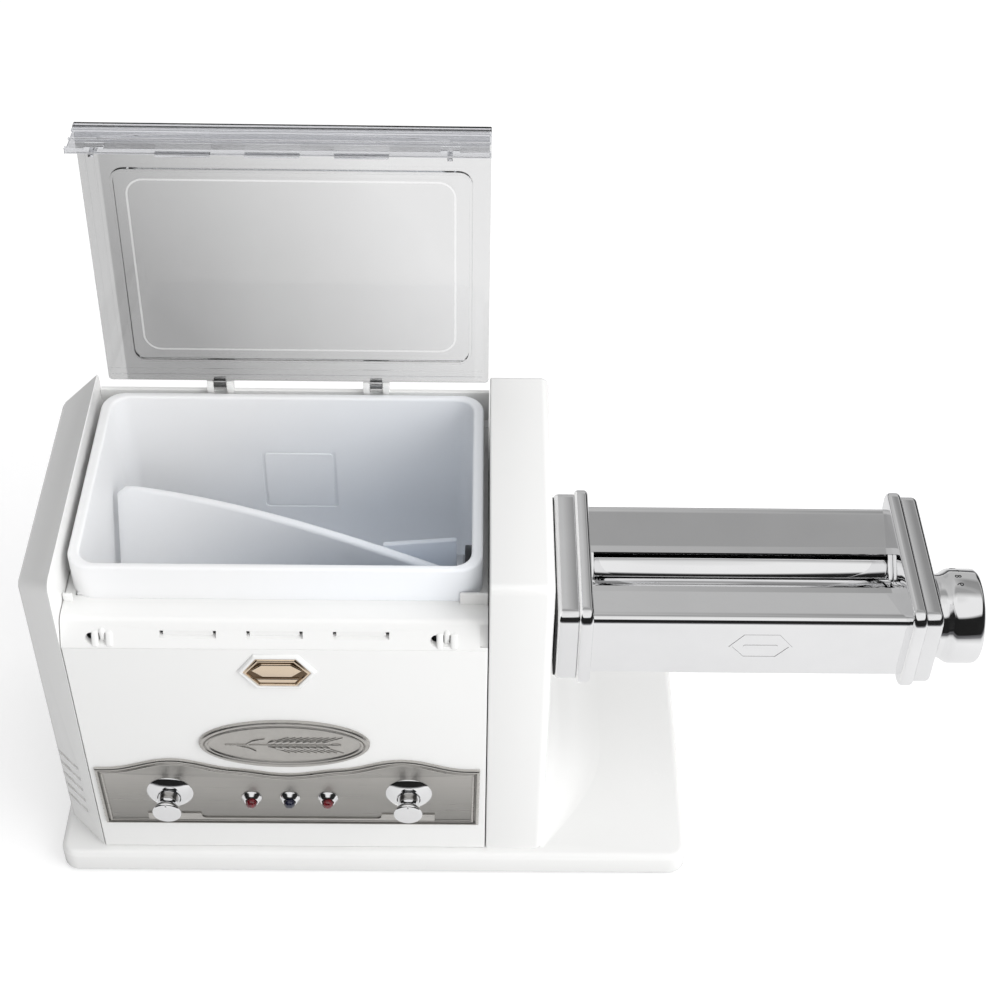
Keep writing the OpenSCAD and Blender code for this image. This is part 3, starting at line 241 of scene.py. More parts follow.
def modified(piece: Piece, kind: str, **settings: object) -> Piece:
    """Puts a modifier on a piece and applies it.

    Args:
        piece: the piece.
        kind: the modifier's type.
        settings: the modifier's own settings.

    Returns:
        The piece.
    """
    step = piece.modifiers.new(kind.lower(), kind)
    for key, value in settings.items():
        setattr(step, key, value)
    select_only(piece)
    bpy.ops.object.modifier_apply(modifier=step.name)
    return piece


def placed(piece: Piece) -> Piece:
    """Moves a piece's place, turn and scale into its mesh.

    Args:
        piece: the piece.

    Returns:
        The piece.
    """
    select_only(piece)
    bpy.ops.object.transform_apply(location=True, rotation=True, scale=True)
    return piece


def tidy_skin(piece: Piece, merge: float = CLOSE) -> Piece:
    """Merges doubled points and turns every face outwards."""
    with editing(piece):
        bpy.ops.mesh.remove_doubles(threshold=merge)
        bpy.ops.mesh.normals_make_consistent(inside=False)
    return piece


def combine(piece: Piece, tool: Piece, cut: Cut) -> Piece:
    """Cuts a second solid away from the first, or fuses it on, and removes it.

    Args:
        piece: the solid that stays.
        tool: the solid that is used up.
        cut: what the tool does.

    Returns:
        The piece.
    """
    modified(piece, "BOOLEAN", operation=cut.value, solver="EXACT", object=tool)
    bpy.data.objects.remove(tool, do_unlink=True)
    return piece


def carve(piece: Piece, *tools: Piece) -> Piece:
    """Cuts solids away from a piece, one after another."""
    for tool in tools:
        combine(piece, tool, Cut.AWAY)
    return piece


def gather(*shells: Piece, name: str = "") -> Piece:
    """Joins separate shells into one piece, under a new name where one is given.

    Args:
        shells: the shells, the one that stays first.
        name: the new name, if any.

    Returns:
        The joined piece.
    """
    if len(shells) > 1:
        select_only(*shells)
        bpy.ops.object.join()
    if name:
        shells[0].name = name
    return shells[0]


def smooth(piece: Piece, degrees: float) -> Piece:
    """Shades smooth across edges that turn less than an angle.

    Args:
        piece: the piece.
        degrees: the angle.

    Returns:
        The piece.
    """
    select_only(piece)
    bpy.ops.object.shade_smooth_by_angle(angle=math.radians(degrees))
    return piece


def settle(piece: Piece, turn: Matrix) -> Piece:
    """Moves a piece from the layout in millimetres to the row frame in metres, object at the origin.

    Args:
        piece: the piece, laid out in millimetres.
        turn: a turn in the layout that comes first, such as the lid's swing.

    Returns:
        The piece.
    """
    place = Matrix.Translation(machine_origin()) @ Matrix.Diagonal((MM, MM, MM, 1.0))
    piece.matrix_world = place @ turn @ piece.matrix_world
    return placed(piece)


# ------------------------------------------------------------------ outlines


def on_plane(outline: Outline, plane: Plane, level: float) -> list[Vector]:
    """The points of a flat outline, standing on a plane at a level."""
    order = {Plane.YZ: lambda a, b: (level, a, b), Plane.XZ: lambda a, b: (a, level, b),
             Plane.XY: lambda a, b: (a, b, level)}[plane]
    return [Vector(order(a, b)) for a, b in outline]


def ellipse(centre: Point2, size: Point2, count: int) -> list[Point2]:
    """The points of an ellipse against the clock."""
    return [(centre[0] + size[0] / 2 * math.cos(math.tau * k / count),
             centre[1] + size[1] / 2 * math.sin(math.tau * k / count)) for k in range(count)]


def hexagon(size: Point2, centre: Point2) -> list[Point2]:
    """A flat hexagon with its points at the left and the right.

    Args:
        size: its width and height.
        centre: its middle.

    Returns:
        Its six corners in order.
    """
    w, h = size
    flat = w * 0.28
    shape = [(w / 2, 0), (flat, h / 2), (-flat, h / 2), (-w / 2, 0), (-flat, -h / 2), (flat, -h / 2)]
    return [(centre[0] + a, centre[1] + b) for a, b in shape]


def rounded_box(a: Point2, b: Point2, radius: float, segments: int = 8) -> list[Point2]:
    """A rectangle with round corners, as points against the clock.

    Args:
        a: its low corner.
        b: its high corner.
        radius: of its corners.
        segments: facets of each corner.

    Returns:
        The outline.
    """
    corners = [(b[0] - radius, b[1] - radius, 0), (a[0] + radius, b[1] - radius, 90),
               (a[0] + radius, a[1] + radius, 180), (b[0] - radius, a[1] + radius, 270)]
    return [(cx + radius * math.cos(math.radians(start + 90 * k / segments)),
             cy + radius * math.sin(math.radians(start + 90 * k / segments)))
            for cx, cy, start in corners for k in range(segments + 1)]


def capsule(a: Point2, b: Point2, radius: float, steps: int = 10) -> list[Point2]:
    """A bar with round ends from one point to another.

    Args:
        a: the middle of its first end.
        b: the middle of its second end.
        radius: of its ends.
        steps: facets of each end.

    Returns:
        The outline.
    """
    lie = math.atan2(b[1] - a[1], b[0] - a[0])
    return [(end[0] + radius * math.cos(start + math.pi * k / steps),
             end[1] + radius * math.sin(start + math.pi * k / steps))
            for end, start in ((b, lie - math.pi / 2), (a, lie + math.pi / 2)) for k in range(steps + 1)]


def drawn_in(outline: Outline, inward: float) -> list[Point2]:
    """A closed outline moved inward along the bisectors of its corners.

    Args:
        outline: the outline, in either direction.
        inward: how far its sides move.

    Returns:
        The smaller outline.
    """
    points = [Vector(p) for p in outline]
    after = points[1:] + points[:1]
    turn = 1.0 if sum(p.x * q.y - q.x * p.y for p, q in zip(points, after)) > 0 else -1.0
    moved = []
    for i, here in enumerate(points):
        way_in, way_out = (here - points[i - 1]).normalized(), (after[i] - here).normalized()
        lean = Vector((-way_in.y - way_out.y, way_in.x + way_out.x)) * turn
        moved.append(tuple(here + lean * (2.0 * inward / lean.length_squared)))
    return moved


def filleted(points: Outline, radius: float, segments: int = 7) -> list[Point2]:
    """An open run of straight lines with its inner corners rounded.

    Args:
        points: the corners in order.
        radius: the largest rounding.
        segments: facets of each rounding.

    Returns:
        The smoother run.
    """
    longest_share = 0.48
    run = [points[0]]
    for a, b, c in zip(points, points[1:], points[2:]):
        corner = Vector(b)
        back, on = Vector(a) - corner, Vector(c) - corner
        reach = min(radius / math.tan(back.angle(on) / 2), back.length * longest_share,
                    on.length * longest_share)
        start, end = corner + back.normalized() * reach, corner + on.normalized() * reach
        for k in range(segments + 1):
            t = k / segments
            run.append(tuple(start * (1 - t) ** 2 + corner * 2 * t * (1 - t) + end * t ** 2))
    return run + [points[-1]]


# ------------------------------------------------------------------ solids


def shaped(piece: Piece, name: str, points: Sequence[Vector]) -> Piece:
    """Names a new primitive and moves its points to these places.

    Args:
        piece: the primitive.
        name: its name.
        points: one place for each vertex.

    Returns:
        The piece.
    """
    piece.name = name
    for vertex, point in zip(piece.data.vertices, points):
        vertex.co = point
    return piece


def loft(name: str, rings: Sequence[Sequence[Vector]]) -> Piece:
    """Pulls a face through a row of rings with equal counts of points.

    Args:
        name: the piece's name.
        rings: the rings in order, each a list of points.

    Returns:
        The closed piece.
    """
    bpy.ops.mesh.primitive_circle_add(vertices=len(rings[0]), fill_type="NGON")
    piece = shaped(bpy.context.object, name, rings[0])
    with editing(piece):
        for before, after in zip(rings, rings[1:]):
            bpy.ops.mesh.extrude_region_move(TRANSFORM_OT_translate={"value": (0, 0, 0)})
            mesh = bmesh.from_edit_mesh(piece.data)
            for vertex in [v for v in mesh.verts if v.select]:
                nearest = min(range(len(before)), key=lambda k: (before[k] - vertex.co).length_squared)
                vertex.co = after[nearest]
            bmesh.update_edit_mesh(piece.data)
        bpy.ops.mesh.select_all(action="SELECT")
        bpy.ops.mesh.normals_make_consistent(inside=False)
    return piece


def prism(name: str, outline: Outline, plane: Plane, start: float, end: float) -> Piece:
    """A flat outline pulled straight from one level to another."""
    return loft(name, [on_plane(outline, plane, start), on_plane(outline, plane, end)])


def relief(name: str, outline: Outline, steps: Outline) -> Piece:
    """A plate that faces the front; each step is how far its border is drawn in, and the Y there."""
    return loft(name, [on_plane(drawn_in(outline, inward), Plane.XZ, level) for inward, level in steps])


def block(name: str, x: Point2, y: Point2, z: Point2) -> Piece:
    """A block between two places on each axis, from the primitive cube.

    Args:
        name: the piece's name.
        x: from left to right.
        y: from front to back.
        z: from foot to top.

    Returns:
        The block.
    """
    low, high = Vector((x[0], y[0], z[0])), Vector((x[1], y[1], z[1]))
    bpy.ops.mesh.primitive_cube_add(size=1.0, location=(low + high) / 2, scale=high - low)
    bpy.context.object.name = name
    return placed(bpy.context.object)


def rod(name: str, axis: Plane, ends: Point2, at: Point2, radius: float, count: int = 48) -> Piece:
    """A round rod across a plane, used to cut holes and to add pegs."""
    return prism(name, ellipse(at, (2 * radius, 2 * radius), count), axis, *ends)


def open_line(name: str, points: Sequence[Vector]) -> Piece:
    """A chain of points, open at its ends.

    Args:
        name: the piece's name.
        points: the chain in order.

    Returns:
        The chain as a mesh of edges.
    """
    bpy.ops.mesh.primitive_circle_add(vertices=len(points), fill_type="NOTHING")
    piece = shaped(bpy.context.object, name, points)
    with editing(piece):
        pick_edges(piece, lambda e: {v.index for v in e.verts} == {0, len(points) - 1})
        bpy.ops.mesh.delete(type="EDGE")
    return piece


def lathe(name: str, axis: Plane, at: Point2, profile: Outline, steps: int = 96) -> Piece:
    """Spins a profile about an axis.

    Args:
        name: the piece's name.
        axis: the plane that the axis stands across.
        at: where the axis passes through that plane.
        profile: (place along the axis, radius) points in order.
        steps: how many facets go round.

    Returns:
        The piece, closed where the profile starts and ends on the axis.
    """
    piece = open_line(name, [on_plane([(at[0] + r, at[1])], axis, along)[0] for along, r in profile])
    with editing(piece):
        bpy.ops.mesh.spin(steps=steps, angle=math.tau, center=on_plane([at], axis, 0.0)[0],
                          axis=on_plane([(0.0, 0.0)], axis, 1.0)[0])
    return tidy_skin(piece)


def bent_sheet(name: str, run: Outline, x: Point2, thickness: float, inward: float) -> Piece:
    """Sheet metal bent along X: a run of Y and Z points, pulled along X and given a thickness.

    Args:
        name: the piece's name.
        run: the bent line, seen from the end.
        x: where the sheet starts and ends.
        thickness: of the sheet.
        inward: 1 or -1, the side of the line that the thickness lies on.

    Returns:
        The sheet as a closed solid.
    """
    piece = open_line(name, on_plane(run, Plane.YZ, x[0]))
    with editing(piece):
        bpy.ops.mesh.extrude_edges_move(TRANSFORM_OT_translate={"value": (x[1] - x[0], 0, 0)})
    return tidy_skin(modified(piece, "SOLIDIFY", thickness=thickness, offset=inward, use_even_offset=True))


def recast(node: str, name: str, radius: float, segments: int = 3) -> Piece:
    """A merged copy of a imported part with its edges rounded, in the row frame already.

    Args:
        node: the part that is copied.
        name: the new piece's name.
        radius: the rounding in millimetres.
        segments: facets of the rounding.

    Returns:
        The new piece.
    """
    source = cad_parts[node]
    piece = source.copy()
    piece.data = source.data.copy()
    piece.name = name
    piece.animation_data_clear()
    piece.parent = None
    piece.modifiers.clear()
    bpy.context.scene.collection.objects.link(piece)
    piece.matrix_world = source.matrix_world.copy()
    piece.hide_render = piece.hide_viewport = False
    with editing(piece):
        bpy.ops.mesh.remove_doubles(threshold=1e-6)
        bpy.ops.mesh.dissolve_limited(angle_limit=math.radians(1.0))
        bpy.ops.mesh.normals_make_consistent(inside=False)
    modified(piece, "BEVEL", width=radius * MM, segments=segments, limit_method="ANGLE",
             angle_limit=math.radians(35))
    return smooth(piece, 34.0)


# ------------------------------------------------------------------ node sheets


class NodeSheet:
    """Lays out and links the nodes of one material, world or node group."""

    def __init__(self, tree: bpy.types.NodeTree) -> None:
        """Starts on an empty tree."""
        self.tree = tree
        tree.nodes.clear()

    def feed(self, node: bpy.types.Node, inputs: dict) -> None:
        """Sets a node's inputs, by name or number, to values or links them to sockets."""
        for key, value in inputs.items():
            if isinstance(value, bpy.types.NodeSocket):
                self.tree.links.new(value, node.inputs[key])
            else:
                node.inputs[key].default_value = value

    def node(self, kind: str, inputs: dict | None = None, **settings: object) -> bpy.types.Node:
        """Adds a node.

        Args:
            kind: the node's type without the ShaderNode prefix.
            inputs: values or sockets for its inputs, by name or number.
            settings: its own settings.

        Returns:
            The node.
        """
        made = self.tree.nodes.new(kind if kind.startswith("Node") else "ShaderNode" + kind)
        for key, value in settings.items():
            setattr(made, key, value)
        self.feed(made, inputs or {})
        return made

    def math(self, kind: str, a: object, b: object = 0.0, clamp: bool = False) -> bpy.types.NodeSocket:
        """A sum of two values, each a number or a socket."""
        return self.node("Math", {0: a, 1: b}, operation=kind, use_clamp=clamp).outputs[0]

    def times(self, a: object, b: object, clamp: bool = False) -> bpy.types.NodeSocket:
        """The product of two values."""
        return self.math("MULTIPLY", a, b, clamp)

    def mix(self, factor: object, a: object, b: object, blend: str = "MIX") -> bpy.types.NodeSocket:
        """A mix of two colours."""
        return self.node("MixRGB", {0: factor, 1: a, 2: b}, blend_type=blend).outputs[0]

    def place(self) -> bpy.types.NodeSocket:
        """The place on the piece."""
        return self.node("TexCoord").outputs["Object"]

    def axes(self, vector: bpy.types.NodeSocket) -> Sequence[bpy.types.NodeSocket]:
        """A vector's three parts."""
        return list(self.node("SeparateXYZ", {0: vector}).outputs)

    def noise(self, scale: object, detail: float = 4.0, rough: float = 0.55,
              vector: bpy.types.NodeSocket | None = None) -> bpy.types.NodeSocket:
        """A noise value on the place on the piece, or on a given vector."""
        return self.node("TexNoise", {"Scale": scale, "Detail": detail, "Roughness": rough,
                                      "Vector": vector or self.place()}).outputs["Fac"]

    def span(self, value: object, low: float, high: float, to: Point2 = (0.0, 1.0)) -> bpy.types.NodeSocket:
        """A value mapped from one range to another, held at its ends."""
        return self.node("MapRange", {"Value": value, "From Min": low, "From Max": high,
                                      "To Min": to[0], "To Max": to[1]}, clamp=True).outputs[0]

    def grey(self, level: bpy.types.NodeSocket, blue: float = 1.0) -> bpy.types.NodeSocket:
        """A grey of a level, with more or less blue."""
        last = level if blue == 1.0 else self.times(level, blue)
        return self.node("CombineColor", {0: level, 1: level, 2: last}).outputs[0]

    def ramp(self, height: bpy.types.NodeSocket, stops: Outline) -> bpy.types.NodeSocket:
        """A grey ramp over a height from -1 to 1.

        Args:
            height: the height.
            stops: (height, grey) in order.

        Returns:
            The grey.
        """
        node = self.node("ValToRGB", {0: self.span(height, -1.0, 1.0)})
        spots = node.color_ramp.elements
        while len(spots) < len(stops):
            spots.new(0.5)
        for spot, (place, grey) in zip(spots, stops):
            spot.position = (place + 1.0) / 2.0
            spot.color = (grey, grey, grey, 1.0)
        return node.outputs[0]


Sockets = dict[str, bpy.types.NodeSocket]


class Effects:
    """Surface effects that several finishes share, each a node group made once."""

    made: dict[str, bpy.types.NodeTree] = {}

    @classmethod
    def group(cls, name: str, inputs: dict[str, float],
              draw: Callable[[NodeSheet, bpy.types.NodeOutputs], Sockets]) -> bpy.types.NodeTree:
        """Makes a node group once.

        Args:
            name: the effect's name.
            inputs: its inputs and their values.
            draw: draws the group's inside from the inputs, and returns its outputs.

        Returns:
            The group.
        """
        if name not in cls.made:
            tree = bpy.data.node_groups.new(name, "ShaderNodeTree")
            for key, value in inputs.items():
                cls.socket(tree, key, "INPUT").default_value = value
            sheet = NodeSheet(tree)
            outputs = draw(sheet, sheet.node("NodeGroupInput").outputs)
            for key in outputs:
                cls.socket(tree, key, "OUTPUT")
            sheet.node("NodeGroupOutput", outputs)
            cls.made[name] = tree
        return cls.made[name]

    @staticmethod
    def socket(tree: bpy.types.NodeTree, name: str, way: str) -> bpy.types.NodeTreeInterfaceSocket:
        """A new value socket on a group's outside."""
        return tree.interface.new_socket(name=name, in_out=way, socket_type="NodeSocketFloat")

    @classmethod
    def variation(cls) -> bpy.types.NodeTree:
        """Slow cloudiness and a fine moulded grain."""
        def draw(sheet: NodeSheet, given: bpy.types.NodeOutputs) -> Sockets:
            """Draws the group."""
            return {"Cloud": sheet.span(sheet.noise(given["Cloud Scale"], 3.0), 0.3, 0.7),
                    "Grain": sheet.noise(given["Grain Scale"], 2.0, 0.6)}
        return cls.group("SurfaceVariation", {"Cloud Scale": 14.0, "Grain Scale": 2600.0}, draw)

    @classmethod
    def edges(cls) -> bpy.types.NodeTree:
        """Masks of worn outer edges and of inner corners that finishes darken: painted shade on plastics,
        chrome and brass, patina on pewter and bronze, and plain darkening on steel.
        """
        def draw(sheet: NodeSheet, given: bpy.types.NodeOutputs) -> Sockets:
            """Draws the group.

            Args:
                sheet: the group's inside.
                given: its inputs.

            Returns:
                Its outputs by name.
            """
            bend = sheet.node("NewGeometry").outputs["Pointiness"]
            worn = sheet.times(sheet.span(bend, 0.52, 0.6), sheet.noise(220.0, 4.0, 0.7))
            # Crevice darkens inner corners: painted shade on plastics, chrome and brass, patina on pewter and
            # bronze.
            return {"Worn": sheet.times(worn, given["Wear"], True),
                    "Crevice": sheet.times(sheet.span(bend, 0.49, 0.42), given["Dirt"], True)}
        return cls.group("EdgeWearAndCornerShade", {"Wear": 0.4, "Dirt": 0.5}, draw)

    @classmethod
    def brushing(cls) -> bpy.types.NodeTree:
        """Fine parallel brush lines along X, and a crossing of faint scratches."""
        def draw(sheet: NodeSheet, given: bpy.types.NodeOutputs) -> Sockets:
            """Draws the group.

            Args:
                sheet: the group's inside.
                given: its inputs.

            Returns:
                Its outputs by name.
            """
            place = sheet.place()
            squeeze = sheet.node("Mapping", {"Vector": place, "Scale": (18.0, 900.0, 900.0)}).outputs[0]
            scuff = sheet.node("Mapping", {"Vector": place, "Rotation": (0.3, 0.5, 0.9),
                                           "Scale": (30.0, 700.0, 90.0)}).outputs[0]
            return {"Lines": sheet.noise(given["Line Scale"], 3.0, 0.6, squeeze),
                    "Scratches": sheet.span(sheet.noise(1.0, 4.0, 0.75, scuff), 0.58, 0.72)}
        return cls.group("BrushGrain", {"Line Scale": 1.0}, draw)

    @classmethod
    def dust(cls) -> bpy.types.NodeTree:
        """A thin veil of flour dust that settles on faces that look up."""
        def draw(sheet: NodeSheet, given: bpy.types.NodeOutputs) -> Sockets:
            """Draws the group.

            Args:
                sheet: the group's inside.
                given: its inputs.

            Returns:
                Its outputs by name.
            """
            up = sheet.axes(sheet.node("NewGeometry").outputs["Normal"])[2]
            specks = sheet.span(sheet.noise(900.0, 6.0, 0.7), 0.52, 0.75)
            return {"Dust": sheet.times(sheet.times(sheet.span(up, 0.4, 1.0), specks), given["Amount"], True)}
        return cls.group("FineDust", {"Amount": 0.15}, draw)


# ------------------------------------------------------------------ finishes


@dataclass(frozen=True)
class Finish:
    """What every finish shares: a name, a colour and how rough it is."""

    name: str
    colour: Colour
    rough: float

    def material(self) -> bpy.types.Material:
        """The finish's material, made the first time it is asked for.

        Returns:
            The material.
        """
        known = bpy.data.materials.get(self.name)
        if known:
            return known
        made = bpy.data.materials.new(self.name)
        made.use_nodes = True
        sheet = NodeSheet(made.node_tree)
        shader = sheet.node("BsdfPrincipled", {"Base Color": self.colour, "Roughness": self.rough})
        sheet.node("OutputMaterial", {0: shader.outputs[0]})
        sheet.feed(shader, self.dress(sheet))
        return made

    def dress(self, sheet: NodeSheet) -> dict[str, object]:
        """Draws the finish's own nodes and returns what the shader gets."""
        return {}

    def scaled(self, factor: float) -> Colour:
        """The colour made lighter or darker."""
        r, g, b, a = self.colour
        return (r * factor, g * factor, b * factor, a)

    @staticmethod
    def effect(sheet: NodeSheet, tree: bpy.types.NodeTree, **values: float) -> bpy.types.NodeOutputs:
        """Places a shared effect with values of its own, named as its inputs are with _ for a space."""
        inputs = {key.replace("_", " "): value for key, value in values.items()}
        return sheet.node("Group", inputs, node_tree=tree).outputs

    @staticmethod
    def bump(sheet: NodeSheet, height: object, strength: float, depth: float) -> bpy.types.NodeSocket:
        """A normal from a height; depth is in metres."""
        return sheet.node("Bump", {"Height": height, "Strength": strength, "Distance": depth}).outputs[0]


@dataclass(frozen=True)
class MouldedPlastic(Finish):
    """Glossy or satin moulded plastic with a faint orange-peel grain, and, where a shade colour is given, a
    painted shade toward the right and the bottom.
    """

    # A painted shade: the colour that the plastic turns toward the right and the bottom, and the range of X
    # minus height over which it grows; it stands in for the shade inside the tub and on the paddle.
    painted_shade: Colour | None = None
    painted_shade_span: Point2 = (-0.335, -0.20)
    grain: float = 0.12
    cloud: float = 0.004
    coat: float = 0.15
    dusty: float = 0.02
    # How far inner corners are darkened, as painted shade.
    crevice: float = 0.2

    def dress(self, sheet: NodeSheet) -> dict[str, object]:
        """Cloudy colour, painted shade in inner corners and, where given, toward the right and the bottom,
        dust and grain.

        Args:
            sheet: the material's nodes.

        Returns:
            The shader's inputs by name.
        """
        vary = self.effect(sheet, Effects.variation(), Grain_Scale=2200.0)
        edges = self.effect(sheet, Effects.edges(), Wear=0.2, Dirt=self.crevice)
        dust = self.effect(sheet, Effects.dust(), Amount=self.dusty)["Dust"]
        cloudy = sheet.mix(vary["Cloud"], self.scaled(1.0 - self.cloud), self.scaled(1.0 + self.cloud * 0.5))
        # Painted shade: inner corners darkened to 82 %.
        colour = sheet.mix(edges["Crevice"], cloudy, self.scaled(0.82))
        # Painted shade: a bluer, darker tone that grows with X minus height, toward the right and the bottom.
        if self.painted_shade is not None:
            across, _, height = sheet.axes(sheet.place())
            depth = sheet.math("SUBTRACT", across, height)
            colour = sheet.mix(sheet.span(depth, *self.painted_shade_span), colour, self.painted_shade)
        rough = sheet.span(vary["Cloud"], 0.0, 1.0, (self.rough - 0.01, self.rough + 0.01))
        polished = sheet.math("SUBTRACT", rough, sheet.times(edges["Worn"], 0.1))
        return {"Base Color": sheet.mix(dust, colour, (0.88, 0.86, 0.82, 1.0)),
                "Roughness": sheet.math("ADD", polished, sheet.times(dust, 0.4)), "IOR": 1.49,
                "Coat Weight": self.coat, "Coat Roughness": 0.12,
                "Normal": self.bump(sheet, vary["Grain"], self.grain, 0.00008)}


@dataclass(frozen=True)
class ClearPlastic(Finish):
    """Clear polystyrene with a smoke tint and painted shade: darker toward the left and the bottom, darker
    still in a band at the left edge, and a set grey band along the top.
    """

    # Painted reflection and shade: a dark tint toward the left and the bottom, a darker band at the left edge
    # and a set grey top band, which stand in for how the lid reflects the studio.
    painted_shade: Colour = (0.34, 0.34, 0.34, 1.0)
    painted_top_band: Colour = (0.64, 0.645, 0.665, 1.0)
    painted_left_band_span: Point2 = (-0.1952, -0.1960)
    painted_top_band_span: Point2 = (0.3540, 0.3552)

    def dress(self, sheet: NodeSheet) -> dict[str, object]:
        """A smoke tint with painted shade toward the left and the bottom, a painted left edge band and top
        band, moulding flow marks and a plain transmission.

        Args:
            sheet: the material's nodes.

        Returns:
            The shader's inputs by name.
        """
        across, _, height = sheet.axes(sheet.place())
        flow = sheet.noise(9.0, 3.0, 0.5)
        drift = sheet.times(sheet.math("SUBTRACT", flow, 0.5), 0.04)
        lean = sheet.times(sheet.math("SUBTRACT", height, 0.28), 0.55)
        reach = sheet.math("ADD", sheet.math("ADD", across, drift), lean)
        # Painted shade: the tint darkens toward the left and the bottom.
        plain = sheet.mix(sheet.span(reach, -0.19, -0.025), self.painted_shade, self.colour)
        # Painted shade: a darker band at the far left edge.
        left = sheet.mix(sheet.span(across, *self.painted_left_band_span), plain, self.scaled(0.72))
        # Painted reflection: a set grey band along the top.
        return {"Base Color": sheet.mix(sheet.span(height, *self.painted_top_band_span), left, self.painted_top_band),
                "Transmission Weight": 1.0, "IOR": 1.46,
                "Roughness": sheet.span(flow, 0.3, 0.7, (self.rough, self.rough + 0.03)),
                "Normal": self.bump(sheet, sheet.noise(60.0, 2.0), 0.05, 0.0002)}


@dataclass(frozen=True)
class PolishedMetal(Finish):
    """Chrome or another polished metal with hair-fine scratches."""

    scratch: float = 0.06
    crevice: float = 0.5
    cast: float = 0.04

    def dress(self, sheet: NodeSheet) -> dict[str, object]:
        """Metal with scratches in its roughness and darker inner corners: painted shade on chrome and brass,
        patina on the bronze badge.

        Args:
            sheet: the material's nodes.

        Returns:
            The shader's inputs by name.
        """
        brush = self.effect(sheet, Effects.brushing(), Line_Scale=1.0)
        vary = self.effect(sheet, Effects.variation(), Cloud_Scale=30.0, Grain_Scale=900.0)
        edges = self.effect(sheet, Effects.edges(), Wear=0.3, Dirt=self.crevice)
        tone = sheet.mix(vary["Cloud"], self.scaled(1.0 - self.cast), self.scaled(1.0))
        marked = sheet.math("ADD", self.rough, sheet.times(brush["Scratches"], self.scratch))
        # Darker inner corners: painted shade on chrome and brass, patina on the bronze badge.
        return {"Base Color": sheet.mix(edges["Crevice"], tone, self.scaled(0.35)),
                "Roughness": sheet.math("ADD", marked, sheet.times(brush["Lines"], self.scratch * 0.5)),
                "Metallic": 1.0, "Normal": self.bump(sheet, vary["Cloud"], 0.04, 0.00006)}


@dataclass(frozen=True)
class BrushedMetal(Finish):
    """Satin metal with parallel brush lines, such as steel or pewter."""

    line_depth: float = 0.25
    crevice: float = 0.8
    stipple: float = 0.0

    def dress(self, sheet: NodeSheet) -> dict[str, object]:
        """Brush lines in the colour, the roughness and the relief.

        Args:
            sheet: the material's nodes.

        Returns:
            The shader's inputs by name.
        """
        lines = self.effect(sheet, Effects.brushing(), Line_Scale=1.0)["Lines"]
        vary = self.effect(sheet, Effects.variation(), Cloud_Scale=22.0, Grain_Scale=1500.0)
        edges = self.effect(sheet, Effects.edges(), Wear=0.8, Dirt=self.crevice)
        lined = sheet.mix(lines, self.scaled(0.86), self.scaled(1.12))
        cloudy = sheet.mix(sheet.times(vary["Cloud"], 0.5), lined, self.scaled(1.06))
        worn = sheet.mix(edges["Worn"], cloudy, self.scaled(1.35))
        rough = sheet.span(lines, 0.3, 0.7, (self.rough - 0.05, self.rough + 0.08))
        pits = sheet.times(vary["Grain"], self.stipple)
        height = sheet.math("ADD", sheet.times(lines, self.line_depth), pits)
        return {"Base Color": sheet.mix(edges["Crevice"], worn, self.scaled(0.3)),
                "Roughness": sheet.math("SUBTRACT", rough, sheet.times(edges["Worn"], 0.1)),
                "Metallic": 1.0, "Normal": self.bump(sheet, height, 0.3, 0.0001)}


@dataclass(frozen=True)
class ColouredLens(Finish):
    """A pilot lamp's lens: clear coloured plastic over a dark well."""

    depth: Colour

    def dress(self, sheet: NodeSheet) -> dict[str, object]:
        """A colour that deepens at the rim of each cell of a facet pattern and, as painted shade, toward the
        outline as the camera sees it, under a hard coat.

        Args:
            sheet: the material's nodes.

        Returns:
            The shader's inputs by name.
        """
        facets = sheet.node("TexVoronoi", {"Scale": 520.0, "Vector": sheet.place()}).outputs["Distance"]
        # Painted shade: Layer Weight Facing darkens the lens toward its outline as seen from the camera.
        painted_outline_shade = sheet.node("LayerWeight", {"Blend": 0.35}).outputs["Facing"]
        both = sheet.math("MAXIMUM", sheet.times(sheet.span(facets, 0.1, 0.75), 0.6), sheet.times(painted_outline_shade, 0.7))
        return {"Base Color": sheet.mix(both, self.colour, self.depth), "IOR": 1.55, "Coat Weight": 1.0,
                "Coat Roughness": 0.03, "Normal": self.bump(sheet, facets, 0.5, 0.0004)}


@dataclass(frozen=True)
class CircuitLacquer(Finish):
    """Green solder lacquer with copper tracks that show through."""

    track: Colour = (0.10, 0.33, 0.16, 1.0)

    def dress(self, sheet: NodeSheet) -> dict[str, object]:
        """Tracks as a brick pattern under the lacquer."""
        tracks = sheet.node("TexBrick", {
            "Vector": sheet.place(), "Scale": 90.0, "Color1": self.colour, "Color2": self.scaled(0.8),
            "Mortar": self.track, "Mortar Size": 0.03}).outputs
        return {"Base Color": tracks["Color"], "Coat Weight": 0.5,
                "Normal": self.bump(sheet, tracks["Fac"], 0.3, 0.0001)}


